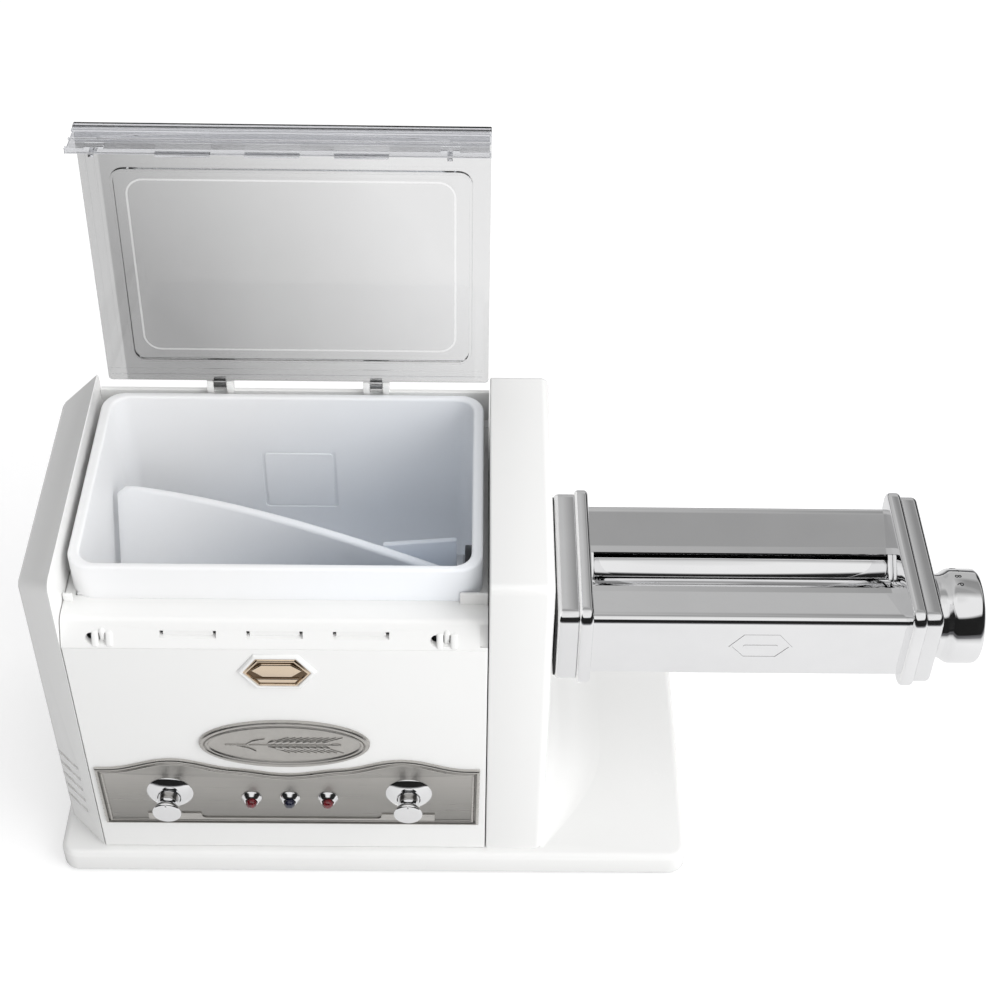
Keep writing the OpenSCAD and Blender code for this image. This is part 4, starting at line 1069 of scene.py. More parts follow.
class Finishes:
    """The machine's finishes."""

    body = MouldedPlastic("body_white_gloss", (0.87, 0.87, 0.86, 1.0), 0.26, coat=0.3)
    # The tub's and the paddle's bluer tones toward the right and the bottom are painted shade.
    tub = MouldedPlastic("tub_satin_painted_shade", (0.895, 0.898, 0.903, 1.0), 0.34, coat=0.1,
                         painted_shade=(0.915, 0.945, 0.985, 1.0))
    paddle = MouldedPlastic("paddle_satin_painted_shade", (0.92, 0.93, 0.945, 1.0), 0.32, coat=0.1,
                            painted_shade=(0.80, 0.85, 0.92, 1.0))
    lid = ClearPlastic("lid_clear_smoke", (0.73, 0.73, 0.73, 1.0), 0.02)
    pewter = BrushedMetal("pewter_satin", (0.52, 0.505, 0.48, 1.0), 0.31)
    pewter_field = BrushedMetal("pewter_stippled", (0.50, 0.485, 0.46, 1.0), 0.42, stipple=1.2)
    bronze = PolishedMetal("badge_bronze", (0.83, 0.68, 0.52, 1.0), 0.12, scratch=0.1, crevice=0.9)
    bronze_deep = PolishedMetal("badge_bronze_dark", (0.16, 0.11, 0.07, 1.0), 0.25, scratch=0.1)
    chrome = PolishedMetal("chrome_polished", (0.90, 0.90, 0.905, 1.0), 0.04)
    chrome_satin = PolishedMetal("chrome_satin_sheet", (0.87, 0.87, 0.875, 1.0), 0.075, scratch=0.1)
    steel = BrushedMetal("steel_brushed", (0.60, 0.605, 0.62, 1.0), 0.33)
    pale_steel = BrushedMetal("steel_frosted", (0.86, 0.865, 0.88, 1.0), 0.5, crevice=0.2)
    brass = PolishedMetal("brass_turned", (0.74, 0.56, 0.29, 1.0), 0.2, scratch=0.12)
    black = MouldedPlastic("black_plastic_fine", (0.03, 0.03, 0.033, 1.0), 0.45, grain=0.5, coat=0.0)
    ink = MouldedPlastic("dial_ink", (0.02, 0.02, 0.022, 1.0), 0.5, grain=0.3, coat=0.0)
    rubber = MouldedPlastic("foot_rubber", (0.028, 0.028, 0.028, 1.0), 0.8, grain=0.8, coat=0.0)
    nylon = MouldedPlastic("gear_nylon_natural", (0.80, 0.78, 0.70, 1.0), 0.42, grain=0.3, coat=0.0)
    red = ColouredLens("lens_red", (0.17, 0.004, 0.01, 1.0), 0.16, (0.02, 0.0, 0.002, 1.0))
    blue = ColouredLens("lens_blue", (0.007, 0.009, 0.032, 1.0), 0.16, (0.001, 0.001, 0.006, 1.0))
    board = CircuitLacquer("board_green_lacquer", (0.02, 0.16, 0.06, 1.0), 0.3)


def hand_over(piece: Piece, finish: Finish, body: Rides, slot: str, *nodes: str, turn: Matrix | None = None,
              settled: bool = False, sharp: float = 34.0) -> Piece:
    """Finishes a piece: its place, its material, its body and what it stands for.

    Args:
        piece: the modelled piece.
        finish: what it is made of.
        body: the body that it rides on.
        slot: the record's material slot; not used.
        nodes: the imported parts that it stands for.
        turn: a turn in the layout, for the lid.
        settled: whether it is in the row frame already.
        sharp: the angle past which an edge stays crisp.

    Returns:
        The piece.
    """
    if not settled:
        smooth(settle(piece, turn or Matrix.Identity(4)), sharp)
    piece.data.materials.clear()
    piece.data.materials.append(finish.material())
    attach(piece, body.value)
    if nodes:
        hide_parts(*nodes)
    LOG.info("%s: %d faces, rides on %s", piece.name, len(piece.data.polygons), body.value)
    return piece


def dress_body(piece: Piece, *nodes: str) -> Piece:
    """Hands over a piece of the white body."""
    return hand_over(piece, Finishes.body, Rides.FRAME, "white_body", *nodes)


# ------------------------------------------------------------------ body


@dataclass
class BaseTray:
    """The base with its tray and the concave sweep down from the column."""

    x: Point2 = (-24.0, 314.0)
    y: Point2 = (-5.5, 160.0)
    z: Point2 = (1.5, LAYOUT.foot)
    corner: float = 9.0
    top_round: float = 3.6
    foot_round: float = 1.0
    pocket: Outline = ((1.5, 5.0), (231.0, 5.0), (231.0, 150.0), (-17.0, 150.0), (-17.0, 20.5))
    pocket_floor: float = 4.5
    bosses: Outline = ((298.0, 12.5), (298.0, 144.0))
    boss_radius: float = 7.0
    sweep_radius: float = 34.0
    sweep_run: float = 70.0
    least_reach: float = 0.25
    stations: int = 26
    arc: int = 14

    def slab(self) -> Piece:
        """The base slab, with soft edges and its two pockets.

        Returns:
            The slab.
        """
        outline = rounded_box((self.x[0], self.y[0]), (self.x[1], self.y[1]), self.corner)
        slab = prism("base_slab", outline, Plane.XY, *self.z)
        round_edges(slab, self.top_round, 6, at_level(2, self.z[1]))
        round_edges(slab, self.foot_round, 3, at_level(2, self.z[0]))
        hollow = block("hollow", (238, 311.5), (-1, 157.5), (0, 13.5))
        carve(hollow, *[rod("boss", Plane.XY, (-1, 14), at, self.boss_radius) for at in self.bosses])
        return carve(slab, prism("pocket", self.pocket, Plane.XY, self.pocket_floor, 20.0), hollow)

    def ring(self, y: float) -> list[Vector]:
        """One outline of the sweep, which reaches further out towards the back.

        Args:
            y: the outline's place from front to back.

        Returns:
            Its points in order.
        """
        side, top, foot = LAYOUT.column_side, self.z[1], self.z[1] - 0.6
        share = math.sin(math.pi / 2 * min(1.0, y / self.sweep_run))
        reach = max(self.least_reach, self.sweep_radius * share)
        turns = [math.pi / 2 * k / self.arc for k in range(self.arc + 1)]
        arc = [(side + reach * (1 - math.cos(a)) - 0.02, top + reach * (1 - math.sin(a)) + 0.02)
               for a in turns]
        outline = [(side - 1.5, foot), (side - 1.5, top + reach), *arc, (side + reach, foot)]
        return on_plane(outline, Plane.XZ, y)

    def build(self) -> None:
        """Builds the base."""
        start, run = 0.4, LAYOUT.depth - 4.4
        rings = [self.ring(start + run * i / self.stations) for i in range(self.stations + 1)]
        dress_body(gather(self.slab(), loft("base_sweep", rings), name="base_tray_shell"), "base_tray")


@dataclass
class SideCover:
    """The hollow cover on the left, bevelled along its top and its front."""

    width: float = 22.0
    z: Point2 = (LAYOUT.foot, LAYOUT.top)
    inner_face: float = -0.15
    bevel: float = 20.0
    edge: float = 4.2
    louvres: int = 5
    louvre_z: float = 34.5
    louvre_pitch: float = 9.1
    louvre_height: float = 3.4
    louvre_y: Point2 = (11.0, 58.0)
    groove_x: Point2 = (-15.5, -8.0)
    groove_depth: float = 1.7

    def louvre(self, z: float) -> list[Piece]:
        """What one louvre takes away: a slit in the side, and a groove that runs on across the bevel.

        Args:
            z: the louvre's foot.

        Returns:
            The slit and the groove.
        """
        slit = block("slit", (-self.width - 2, -self.width / 2 - 3), self.louvre_y,
                     (z, z + self.louvre_height))
        round_edges(slit, 1.2, 3, crease_along(0))
        near, far = [Vector((x, -x * self.bevel / self.width)) for x in self.groove_x]
        out = Vector((-self.bevel, -self.width)).normalized() * self.groove_depth
        band = [tuple(near + out), tuple(far + out), tuple(far - out), tuple(near - out)]
        return [slit, prism("groove", band, Plane.XY, z + 0.2, z + self.louvre_height - 0.2)]

    def build(self) -> None:
        """Builds the cover with its louvres."""
        cover = block("left_side_cover_shell", (-self.width, self.inner_face), (0, LAYOUT.depth), self.z)
        with editing(cover):
            bpy.ops.mesh.bisect(plane_co=(0, 0, self.z[1]), plane_no=(-self.bevel, 0, self.width),
                                use_fill=True, clear_outer=True)
            bpy.ops.mesh.select_all(action="SELECT")
            bpy.ops.mesh.bisect(plane_co=(0, 0, 0), plane_no=(-self.bevel, -self.width, 0),
                                use_fill=True, clear_outer=True)
        round_edges(cover, self.edge, 6, lambda e: is_crease(e, 20) and low_end(e, 0) < -1
                    and high_end(e, 2) > self.z[0] + 1)
        round_edges(cover, 0.5, 3, crease_at(0, self.inner_face))
        for k in range(self.louvres):
            carve(cover, *self.louvre(self.louvre_z + k * self.louvre_pitch))
        dress_body(cover, "left_side_cover")


@dataclass
class MotorColumn:
    """The column between the tub and the roller unit."""

    x: Point2 = (205.2, LAYOUT.column_side)
    y: Point2 = (0.0, LAYOUT.depth)
    z: Point2 = (LAYOUT.foot, LAYOUT.top)
    wall: float = 2.5
    outer_round: float = 4.5
    inner_round: float = 0.9
    drive_hole: float = 9.3
    socket_hole: float = 7.66
    peg_hole: float = 3.15

    def build(self) -> None:
        """Builds the hollow column with its bores."""
        column = block("motor_column_shell", self.x, self.y, self.z)
        (left, right), (foot, top) = self.x, self.z
        outside = lambda e: at_level(0, right)(e) or at_level(2, top)(e)
        round_edges(column, self.outer_round, 7, lambda e: is_crease(e) and outside(e)
                    and not at_level(0, left)(e) and not at_level(2, foot)(e))
        round_edges(column, self.inner_round, 3, crease_at(0, left))
        near_wall, far_wall = (204, 208.5), (233, 237)
        carve(column,
              block("inside", (left + self.wall, right - self.wall), (self.wall, self.y[1] - self.wall),
                    (foot - 2, top - self.wall)),
              block("motor_way", near_wall, (99, 150), (10, 69)),
              rod("drive_hole", Plane.YZ, near_wall, LAYOUT.paddle_axis, self.drive_hole),
              rod("socket_hole", Plane.YZ, far_wall, LAYOUT.back_roller_axis, self.socket_hole),
              *[rod("peg_hole", Plane.YZ, far_wall, at, self.peg_hole) for at in LAYOUT.pegs])
        dress_body(column, "motor_housing")


@dataclass
class FrontPanel:
    """The flat front with its raised badge frame, and the shoulder above it."""

    x: Point2 = (0.3, LAYOUT.width - 0.3)
    top: float = 177.0
    frame_size: Point2 = (39.0, 24.6)
    shelf: Point2 = (7.5, 190.0)
    slot_width: float = 27.0
    slot_end: float = 1.6
    knuckle: float = 1.9
    knuckles: Outline = ((-5.0, -1.7), (-1.35, 1.35), (1.7, 5.2))
    ledges: Outline = ((0.1, 5.6), (199.4, 204.9))
    ledge_z: Point2 = (186.6, 189.6)

    def panel(self) -> None:
        """The panel and the frame round the upper badge."""
        panel = block("front_panel_sheet", self.x, (0, 2.5), (LAYOUT.foot + 0.2, self.top - 0.15))
        round_edges(panel, 0.7, 4, crease_at(1, 0.0))
        rim = relief("badge_frame", hexagon(self.frame_size, LAYOUT.upper_badge),
                     [(0.0, 0.4), (0.0, -0.5), (0.9, -1.4), (2.2, -1.4), (2.6, -0.3)])
        round_edges(rim, 0.35, 4, lambda e: is_crease(e, 25) and high_end(e, 1) < -0.4)
        dress_body(gather(panel, rim), "front_panel")

    def on_slope(self, z: float, inward: float) -> Point2:
        """A point at a height on the slanted strip, moved into the material."""
        share = (z - self.top) / (self.shelf[1] - self.top)
        return (self.shelf[0] * share + 0.866 * inward, z - 0.5 * inward)

    def strip(self) -> Piece:
        """The slanted strip with its two corner blocks and its rounded front edge.

        Returns:
            The strip.
        """
        foot = self.top + 0.1
        outline = [(0.0, foot), self.shelf, (22.2, 190.0), (22.2, 187.5), (9.0, 187.5), (6.4, 184.0),
                   (6.4, 181.0), (3.1, foot)]
        strip = prism("front_shoulder_shell", outline, Plane.YZ, *self.x)
        fillers = [block("corner_right", (191.0, self.x[1]), (18.2, 20.2), (189.0, 197.0)),
                   block("corner_left", (self.x[0], 5.0), (18.2, 20.2), (189.0, 194.5))]
        for filler in fillers:
            round_edges(filler, 0.8, 4, lambda e: is_crease(e) and high_end(e, 2) > 190)
            combine(strip, filler, Cut.ON)
        return round_edges(strip, 2.2, 5, lambda e: all(
            abs(v.co.y - self.shelf[0]) < 0.02 and abs(v.co.z - self.shelf[1]) < 0.02 for v in e.verts))

    def shoulder(self) -> None:
        """The strip with its lid pockets, its groove and its catch wells."""
        shoulder = self.strip()
        half = self.slot_width / 2
        for x in LAYOUT.slots:
            carve(shoulder, block("slot", (x - half, x + half), (-1, 4.7), (181.5, 187.5)),
                  *[block("slot_end", (end, end + self.slot_end), (-1, 8.4), (181.5, 184.6))
                    for end in (x - half, x + half - self.slot_end)])
        groove = [self.on_slope(*at) for at in ((178.4, -1.0), (188.2, -1.0), (188.2, 1.5), (178.4, 1.5))]
        carve(shoulder, prism("groove", groove, Plane.YZ, 200.9, LAYOUT.width))
        for x in LAYOUT.catches:
            well = rounded_box((x - 7.9, 178.6), (x + 4.2, 183.7), 2.5)
            carve(shoulder, prism("well", well, Plane.XZ, 9.5, -1.0))
        dress_body(shoulder, "front_shoulder")

    def catches(self) -> None:
        """Three rounded knuckles in each catch well, the middle one set back for the hook."""
        outer = capsule(self.on_slope(178.9, 1.0), self.on_slope(183.2, 1.0), self.knuckle)
        middle = capsule((5.1, 179.0), (5.1, 184.0), self.knuckle)
        shells = [prism("catch_knuckle", outline, Plane.YZ, x + start, x + end) for x in LAYOUT.catches
                  for (start, end), outline in zip(self.knuckles, (outer, middle, outer))]
        for shell in shells:
            round_edges(shell, 1.1, 4, lambda e: is_crease(e, 60))
        dress_body(gather(*shells, name="lid_catch_knuckles"), "lid_catches")

    def well_ledges(self) -> None:
        """The thin ledges that close the well under the tub's rim at both sides."""
        shells = [round_edges(block("ledge", x, (22.0, 148.0), self.ledge_z), 0.8, 3,
                              crease_at(2, self.ledge_z[1])) for x in self.ledges]
        dress_body(gather(*shells, name="tub_well_ledges"))

    def build(self) -> None:
        """Builds the front."""
        self.panel()
        self.shoulder()
        self.catches()
        self.well_ledges()


# ------------------------------------------------------------------ controls


@dataclass
class ControlPanel:
    """The pewter plate with its knobs and pilot lamps."""

    knob_z: float = 64.8
    lamp_z: float = 60.8
    lamp_pitch: float = 19.9
    knob_x: Point2 = (40.3, 164.7)
    knob_base: float = -3.8
    x: Point2 = (3.2, 201.8)
    bottom: float = 38.5
    edge_z: float = 84.8
    edge_points: int = 72
    hump: float = 7.6
    hump_width: float = 34.0
    dip: float = 4.2
    dip_width: float = 30.0

    @staticmethod
    def bell(distance: float, width: float) -> float:
        """A bell from 1 in the middle to 0 at its width."""
        return (1 + math.cos(math.pi * distance / width)) / 2 if abs(distance) < width else 0.0

    def top(self, x: float) -> float:
        """Height of the plate's top edge: a hump near each knob and a dip between them.

        Args:
            x: the place from left to right.

        Returns:
            The height there.
        """
        left, right = self.knob_x[0] + 3, self.knob_x[1] - 3
        humps = self.bell(x - left, self.hump_width) + self.bell(x - right, self.hump_width)
        return self.edge_z + self.hump * humps - self.dip * self.bell(x - LAYOUT.mid, self.dip_width)

    def plate(self) -> None:
        """The plate with its stepped border and the raised strip along its foot."""
        x0, x1 = self.x
        places = [x0 + (x1 - x0) * k / self.edge_points for k in range(self.edge_points + 1)]
        edge = [(x, self.top(x)) for x in reversed(places)]
        plate = relief("control_plate_relief", [(x0 + 0.6, self.bottom), (x1 - 0.6, self.bottom)] + edge,
                       [(0.0, 0.0), (0.0, -0.8), (0.2, -1.35), (0.7, -1.75), (1.35, -1.85), (1.75, -1.5),
                        (2.0, -0.8), (2.4, -0.75), (2.7, -1.4), (3.1, -1.8), (3.6, -1.8), (4.0, -1.5),
                        (4.2, -1.05)])
        foot = [(27.0, 42.4), (178.0, 42.4), (178.0, 48.0), (150.2, 48.0), (149.4, 45.0), (148.0, 44.2),
                (57.0, 44.2), (55.6, 45.0), (54.8, 48.0), (27.0, 48.0)]
        raised = round_edges(prism("foot_strip", foot, Plane.XZ, -0.8, -1.75), 0.3, 3, crease_at(1, -1.75))
        hand_over(gather(plate, raised), Finishes.pewter, Rides.FRAME, "pewter", "control_plate", sharp=24)

    def discs(self) -> None:
        """The domed chrome discs that the knobs stand on."""
        profile = [(-0.6, 0.0), (-0.6, 12.2), (-1.0, 12.4), (-1.35, 12.2), (-1.75, 11.8), (-2.2, 11.25),
                   (-2.75, 10.45), (-3.25, 9.6), (-3.7, 8.7), (-4.05, 7.85), (-4.3, 7.1), (-4.4, 6.6),
                   (-4.3, 6.3), (-3.2, 6.2), (-3.1, 5.0), (-3.1, 0.0)]
        discs = [lathe("knob_disc", Plane.XZ, (x, self.knob_z), profile) for x in self.knob_x]
        hand_over(gather(*discs, name="knob_disc_domes"), Finishes.chrome, Rides.FRAME, "chrome",
                  "knob_discs", sharp=60)

    def knob(self, name: str, x: float, body: Rides, node: str) -> None:
        """One flared knob with its shaft.

        Args:
            name: the piece's name.
            x: where it stands.
            body: the body that it is.
            node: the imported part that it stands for.
        """
        base = self.knob_base
        flare = [(0.0, 5.9), (0.8, 5.8), (1.6, 5.6), (3.6, 5.6), (5.4, 5.8), (6.8, 6.2), (7.8, 6.7),
                 (8.4, 7.15), (9.0, 7.4), (9.9, 7.45), (10.4, 7.3), (10.7, 6.9), (10.8, 6.1),
                 (10.85, 3.4), (10.9, 0.0)]
        shaft = [(6.6, 0.0), (6.6, 2.6), (6.3, 3.0), (base + 0.6, 3.0), (base + 0.5, 5.6)]
        profile = shaft + [(base - out, radius) for out, radius in flare]
        knob = lathe(name, Plane.XZ, (x, self.knob_z), profile)
        carve(knob, block("pointer", (x - 0.4, x + 0.4), (base - 11.5, base - 10.3),
                          (self.knob_z + 5.4, self.knob_z + 8.5)))
        hand_over(knob, Finishes.chrome, body, "chrome", node, sharp=50)

    def lamps(self) -> None:
        """Conical bezels and faceted lenses."""
        places = [(LAYOUT.mid + k * self.lamp_pitch, self.lamp_z) for k in (-1, 0, 1)]
        bezel = [(-0.6, 3.0), (-0.6, 5.2), (-1.1, 5.6), (-1.5, 5.55), (-1.9, 5.25), (-2.7, 4.6), (-3.3, 4.1),
                 (-3.8, 3.7), (-4.0, 3.4), (-3.9, 3.1), (-3.4, 2.95), (-0.6, 2.95), (-0.6, 3.0)]
        bezels = [lathe("lamp_bezel", Plane.XZ, at, bezel, 64) for at in places]
        hand_over(gather(*bezels, name="lamp_bezel_cones"), Finishes.chrome_satin, Rides.FRAME, "chrome",
                  "lamp_bezels", sharp=50)
        lens = [(-0.4, 0.0), (-0.4, 2.8), (-3.9, 2.8), (-4.6, 2.92), (-5.4, 2.8), (-6.2, 2.35), (-6.8, 1.7),
                (-7.1, 0.9), (-7.2, 0.0)]
        left, middle, right = [lathe("lamp_lens", Plane.XZ, at, lens, 14) for at in places]
        hand_over(gather(left, right, name="red_lens_pair"), Finishes.red, Rides.FRAME, "red_lens",
                  "red_lenses", sharp=12)
        hand_over(gather(middle, name="blue_lens_dome"), Finishes.blue, Rides.FRAME, "blue_lens",
                  "blue_lens", sharp=12)

    def build(self) -> None:
        """Builds the controls."""
        self.plate()
        self.discs()
        self.knob("selector_knob_flared", self.knob_x[0], Rides.SELECTOR, "selector_knob")
        self.knob("power_knob_flared", self.knob_x[1], Rides.POWER, "power_knob")
        self.lamps()


@dataclass
class Badges:
    """The long pewter badge with an ear of wheat, and the bare bronze badge above it."""

    centre: Point2 = (LAYOUT.mid, 105.6)
    size: Point2 = (86.6, 36.3)
    border: float = 9.2
    upper_size: Point2 = (33.4, 19.2)
    gem_size: Point2 = (25.4, 9.4)
    grain_pairs: int = 9
    grain_pitch: float = 3.4
    grain_size: Point2 = (5.6, 2.3)

    def long_badge(self) -> None:
        """The oval with its double ring, its sunk field and a wheat ear in relief."""
        badge = relief("long_badge_rings", ellipse(self.centre, self.size, 96),
                       [(0.0, 0.0), (0.0, -0.8), (0.25, -1.5), (0.8, -2.05), (1.5, -2.25), (2.2, -2.1),
                        (2.6, -1.6), (2.95, -1.55), (3.2, -1.95), (3.7, -2.2), (4.2, -2.1), (4.6, -1.7),
                        (4.9, -1.35)])
        hand_over(badge, Finishes.pewter, Rides.FRAME, "pewter", "oval_badge", sharp=24)
        inside = ellipse(self.centre, (self.size[0] - self.border, self.size[1] - self.border), 96)
        field = prism("long_badge_field", inside, Plane.XZ, -0.9, -1.42)
        hand_over(field, Finishes.pewter_field, Rides.FRAME, "pewter")
        hand_over(self.wheat(), Finishes.pewter, Rides.FRAME, "pewter", sharp=50)

    @staticmethod
    def grain(at: Point2, lean: float, length: float, width: float) -> Piece:
        """One grain of the ear: a flat drop that leans away from the stem."""
        bpy.ops.mesh.primitive_uv_sphere_add(
            segments=12, ring_count=7, radius=1.0, location=(at[0], -1.5, at[1]), rotation=(0.0, lean, 0.0),
            scale=(length / 2, 0.75, width / 2))
        return placed(bpy.context.object)

    def wheat(self) -> Piece:
        """A wheat ear lying along the oval, with its stem, its awns and two leaves.

        Returns:
            The ear as one piece.
        """
        x0, z0 = self.centre
        length, width = self.grain_size
        shells = [lathe("wheat_stem", Plane.YZ, (-1.5, z0),
                        [(x0 - 30, 0.0), (x0 - 30, 0.45), (x0 + 24, 0.35), (x0 + 24, 0.0)], 12)]
        for k in range(self.grain_pairs):
            x = x0 - 6 + k * self.grain_pitch
            for side in (-1, 1):
                shells.append(self.grain((x, z0 + side * 2.3), -side * 0.5, length - 0.16 * k, width))
                awn = [(x + along, z0 + side * out) for along, out in ((2.0, 3.2), (8.6, 6.2), (2.3, 3.6))]
                shells.append(prism("awn", awn, Plane.XZ, -1.3, -1.75))
        shells.append(self.grain((x0 + 26.0, z0), 0.0, 6.0, 2.4))
        for side, x in ((1, x0 - 20.0), (-1, x0 - 25.0)):
            leaf = [(x + along, z0 + side * out)
                    for along, out in ((0.0, 0.0), (4.0, 3.4), (10.5, 4.9), (6.6, 2.2))]
            blade = prism("leaf", leaf, Plane.XZ, -1.3, -1.95)
            shells.append(round_edges(blade, 0.25, 2, crease_at(1, -1.95)))
        return gather(*shells, name="long_badge_wheat")

    def upper_badge(self) -> None:
        """A bronze hexagon: a raised rim, a dark sunk field, a faceted middle and a plain band."""
        x, z = LAYOUT.upper_badge
        shape = hexagon(self.upper_size, (x, z))
        rim = relief("rim", shape, [(0.0, 0.0), (0.0, -0.9), (0.7, -1.7), (1.3, -1.7), (1.6, -0.6)])
        facets = relief("facets", hexagon(self.gem_size, (x, z + 1.9)),
                        [(0.0, -0.4), (0.0, -1.2), (0.5, -1.7), (3.4, -2.3)])
        low_band = [(x + 10.6, z - 4.0), (x - 10.6, z - 4.0), (x - 8.6, z - 7.0), (x + 8.6, z - 7.0)]
        band = relief("band", low_band, [(0.0, -0.4), (0.0, -1.3), (0.4, -1.65)])
        metal = gather(rim, facets, band, name="upper_badge_facets")
        round_edges(metal, 0.12, 2, lambda e: is_crease(e, 18))
        hand_over(metal, Finishes.bronze, Rides.FRAME, "gold_badge", "top_badge", sharp=20)
        field = relief("upper_badge_field", drawn_in(shape, 1.45), [(0.0, -0.2), (0.0, -0.85), (0.7, -0.7)])
        hand_over(field, Finishes.bronze_deep, Rides.FRAME, "gold_badge")

    def build(self) -> None:
        """Builds both badges."""
        self.long_badge()
        self.upper_badge()


# ------------------------------------------------------------------ tub and paddle


@dataclass
class MixingTub:
    """The lift-out tub with its round bottom."""

    rim_x: Point2 = (3.0, 202.0)
    rim_y: Point2 = (20.5, 148.7)
    rim_z: Point2 = (190.05, 211.0)
    rim_corner: float = 12.0
    rim_round: float = 1.5
    inner_x: Point2 = (8.5, 196.5)
    wall: float = 2.0
    fillet: float = 9.0
    arc: int = 40
    neck: float = 12.06
    bush: float = 8.02
    mark_x: Point2 = (82.5, 122.5)
    mark_z: Point2 = (132.0, 173.0)
    mark_line: float = 1.8

    def trough(self, name: str, x: Point2, radius: float, top: float) -> Piece:
        """The tub's form: straight sides on a half-round bottom, pulled along X.

        Args:
            name: the solid's name.
            x: from its left to its right.
            radius: of its bottom.
            top: where its sides end.

        Returns:
            The solid.
        """
        y, z = LAYOUT.paddle_axis
        turns = [math.pi * k / self.arc for k in range(self.arc + 1)]
        bottom = [(y - radius * math.cos(a), z - radius * math.sin(a)) for a in turns]
        return prism(name, [(y + radius, top), (y - radius, top), *bottom], Plane.YZ, *x)

    def mark(self) -> Piece:
        """The sunk frame on the back wall, as the solid that it takes away.

        Returns:
            The frame.
        """
        back = LAYOUT.paddle_axis[0] + LAYOUT.tub_radius
        (x0, x1), (z0, z1), line = self.mark_x, self.mark_z, self.mark_line
        ring = round_edges(block("mark", self.mark_x, (back - 1, back + 0.7), self.mark_z), 2.0, 3,
                           crease_along(1))
        core = block("core", (x0 + line, x1 - line), (back - 2, back + 2), (z0 + line, z1 - line))
        return carve(ring, round_edges(core, 1.4, 3, crease_along(1)))

    def build(self) -> None:
        """Builds the tub: rim and trough fused, the inside cut out with soft corners."""
        (left, right), (seat, brim) = self.inner_x, self.rim_z
        rim = rounded_box((self.rim_x[0], self.rim_y[0]), (self.rim_x[1], self.rim_y[1]), self.rim_corner, 10)
        tub = prism("tub_shell", rim, Plane.XY, seat, brim)
        combine(tub, self.trough("outer", (left - self.wall, right + self.wall),
                                 LAYOUT.tub_radius + self.wall, seat + 1.0), Cut.ON)
        inner = self.trough("inner", self.inner_x, LAYOUT.tub_radius, brim + 12)
        round_edges(inner, self.fillet, 7,
                    lambda e: at_level(0, left, right)(e) and low_end(e, 2) < brim + 11)
        carve(tub, inner, rod("neck_hole", Plane.YZ, (195, 200), LAYOUT.paddle_axis, self.neck),
              rod("bush_hole", Plane.YZ, (5, 10), LAYOUT.paddle_axis, self.bush), self.mark())
        round_edges(tub, self.rim_round, 5, crease_at(2, brim, 50))
        hand_over(tub, Finishes.tub, Rides.TUB, "tub_plastic", "tub", sharp=40)


@dataclass
class Paddle:
    """The twisted blade that runs the whole length of the tub."""

    x: Point2 = (11.5, 188.5)
    radius: float = 58.0
    thickness: float = 5.0
    edge_round: float = 2.1
    start: float = 63.0
    twist: float = 62.0
    stations: int = 44
    toe: float = 0.04
    toe_width: float = 0.93

    def blade(self) -> Piece:
        """The blade as a rounded flat bar, turned a little at each station.

        Returns:
            The blade.
        """
        thick = self.thickness / 2
        y, z = LAYOUT.paddle_axis
        rings = []
        for i in range(self.stations + 1):
            t = i / self.stations
            swell = math.sin(math.pi / 2 * t / self.toe)
            half = self.radius * (1.0 if t > self.toe else self.toe_width + (1 - self.toe_width) * swell)
            angle = math.radians(self.start + self.twist * t)
            bar = rounded_box((-half, -thick), (half, thick), self.edge_round, 5)
            cos, sin = math.cos(angle), math.sin(angle)
            turned = [(y + u * cos - v * sin, z + u * sin + v * cos) for u, v in bar]
            rings.append(on_plane(turned, Plane.YZ, self.x[0] + (self.x[1] - self.x[0]) * t))
        return round_edges(loft("paddle_blade", rings), 1.2, 3, crease_at(0, self.x[0], 60))

    def build(self) -> None:
        """Builds the blade with its web and its stub."""
        y, z = LAYOUT.paddle_axis
        end = self.x[1]
        web = prism("web", [(end - 46, z + 8), (end, z - 8), (end, z + 40), (end - 38, z + 36)], Plane.XZ,
                    y - 1.5, y + 1.5)
        stub = lathe("stub", Plane.YZ, (y, z), [(5.1, 0.0), (5.1, 4.6), (5.5, 5.0), (11.5, 5.0), (11.6, 6.6),
                                                (12.0, 7.0), (19.0, 7.0), (19.4, 6.6), (19.4, 0.0)], 48)
        paddle = gather(self.blade(), round_edges(web, 0.6, 3), stub, name="paddle_twisted")
        hand_over(paddle, Finishes.paddle, Rides.PADDLE, "paddle_plastic", "paddle", sharp=40)


# ------------------------------------------------------------------ lid


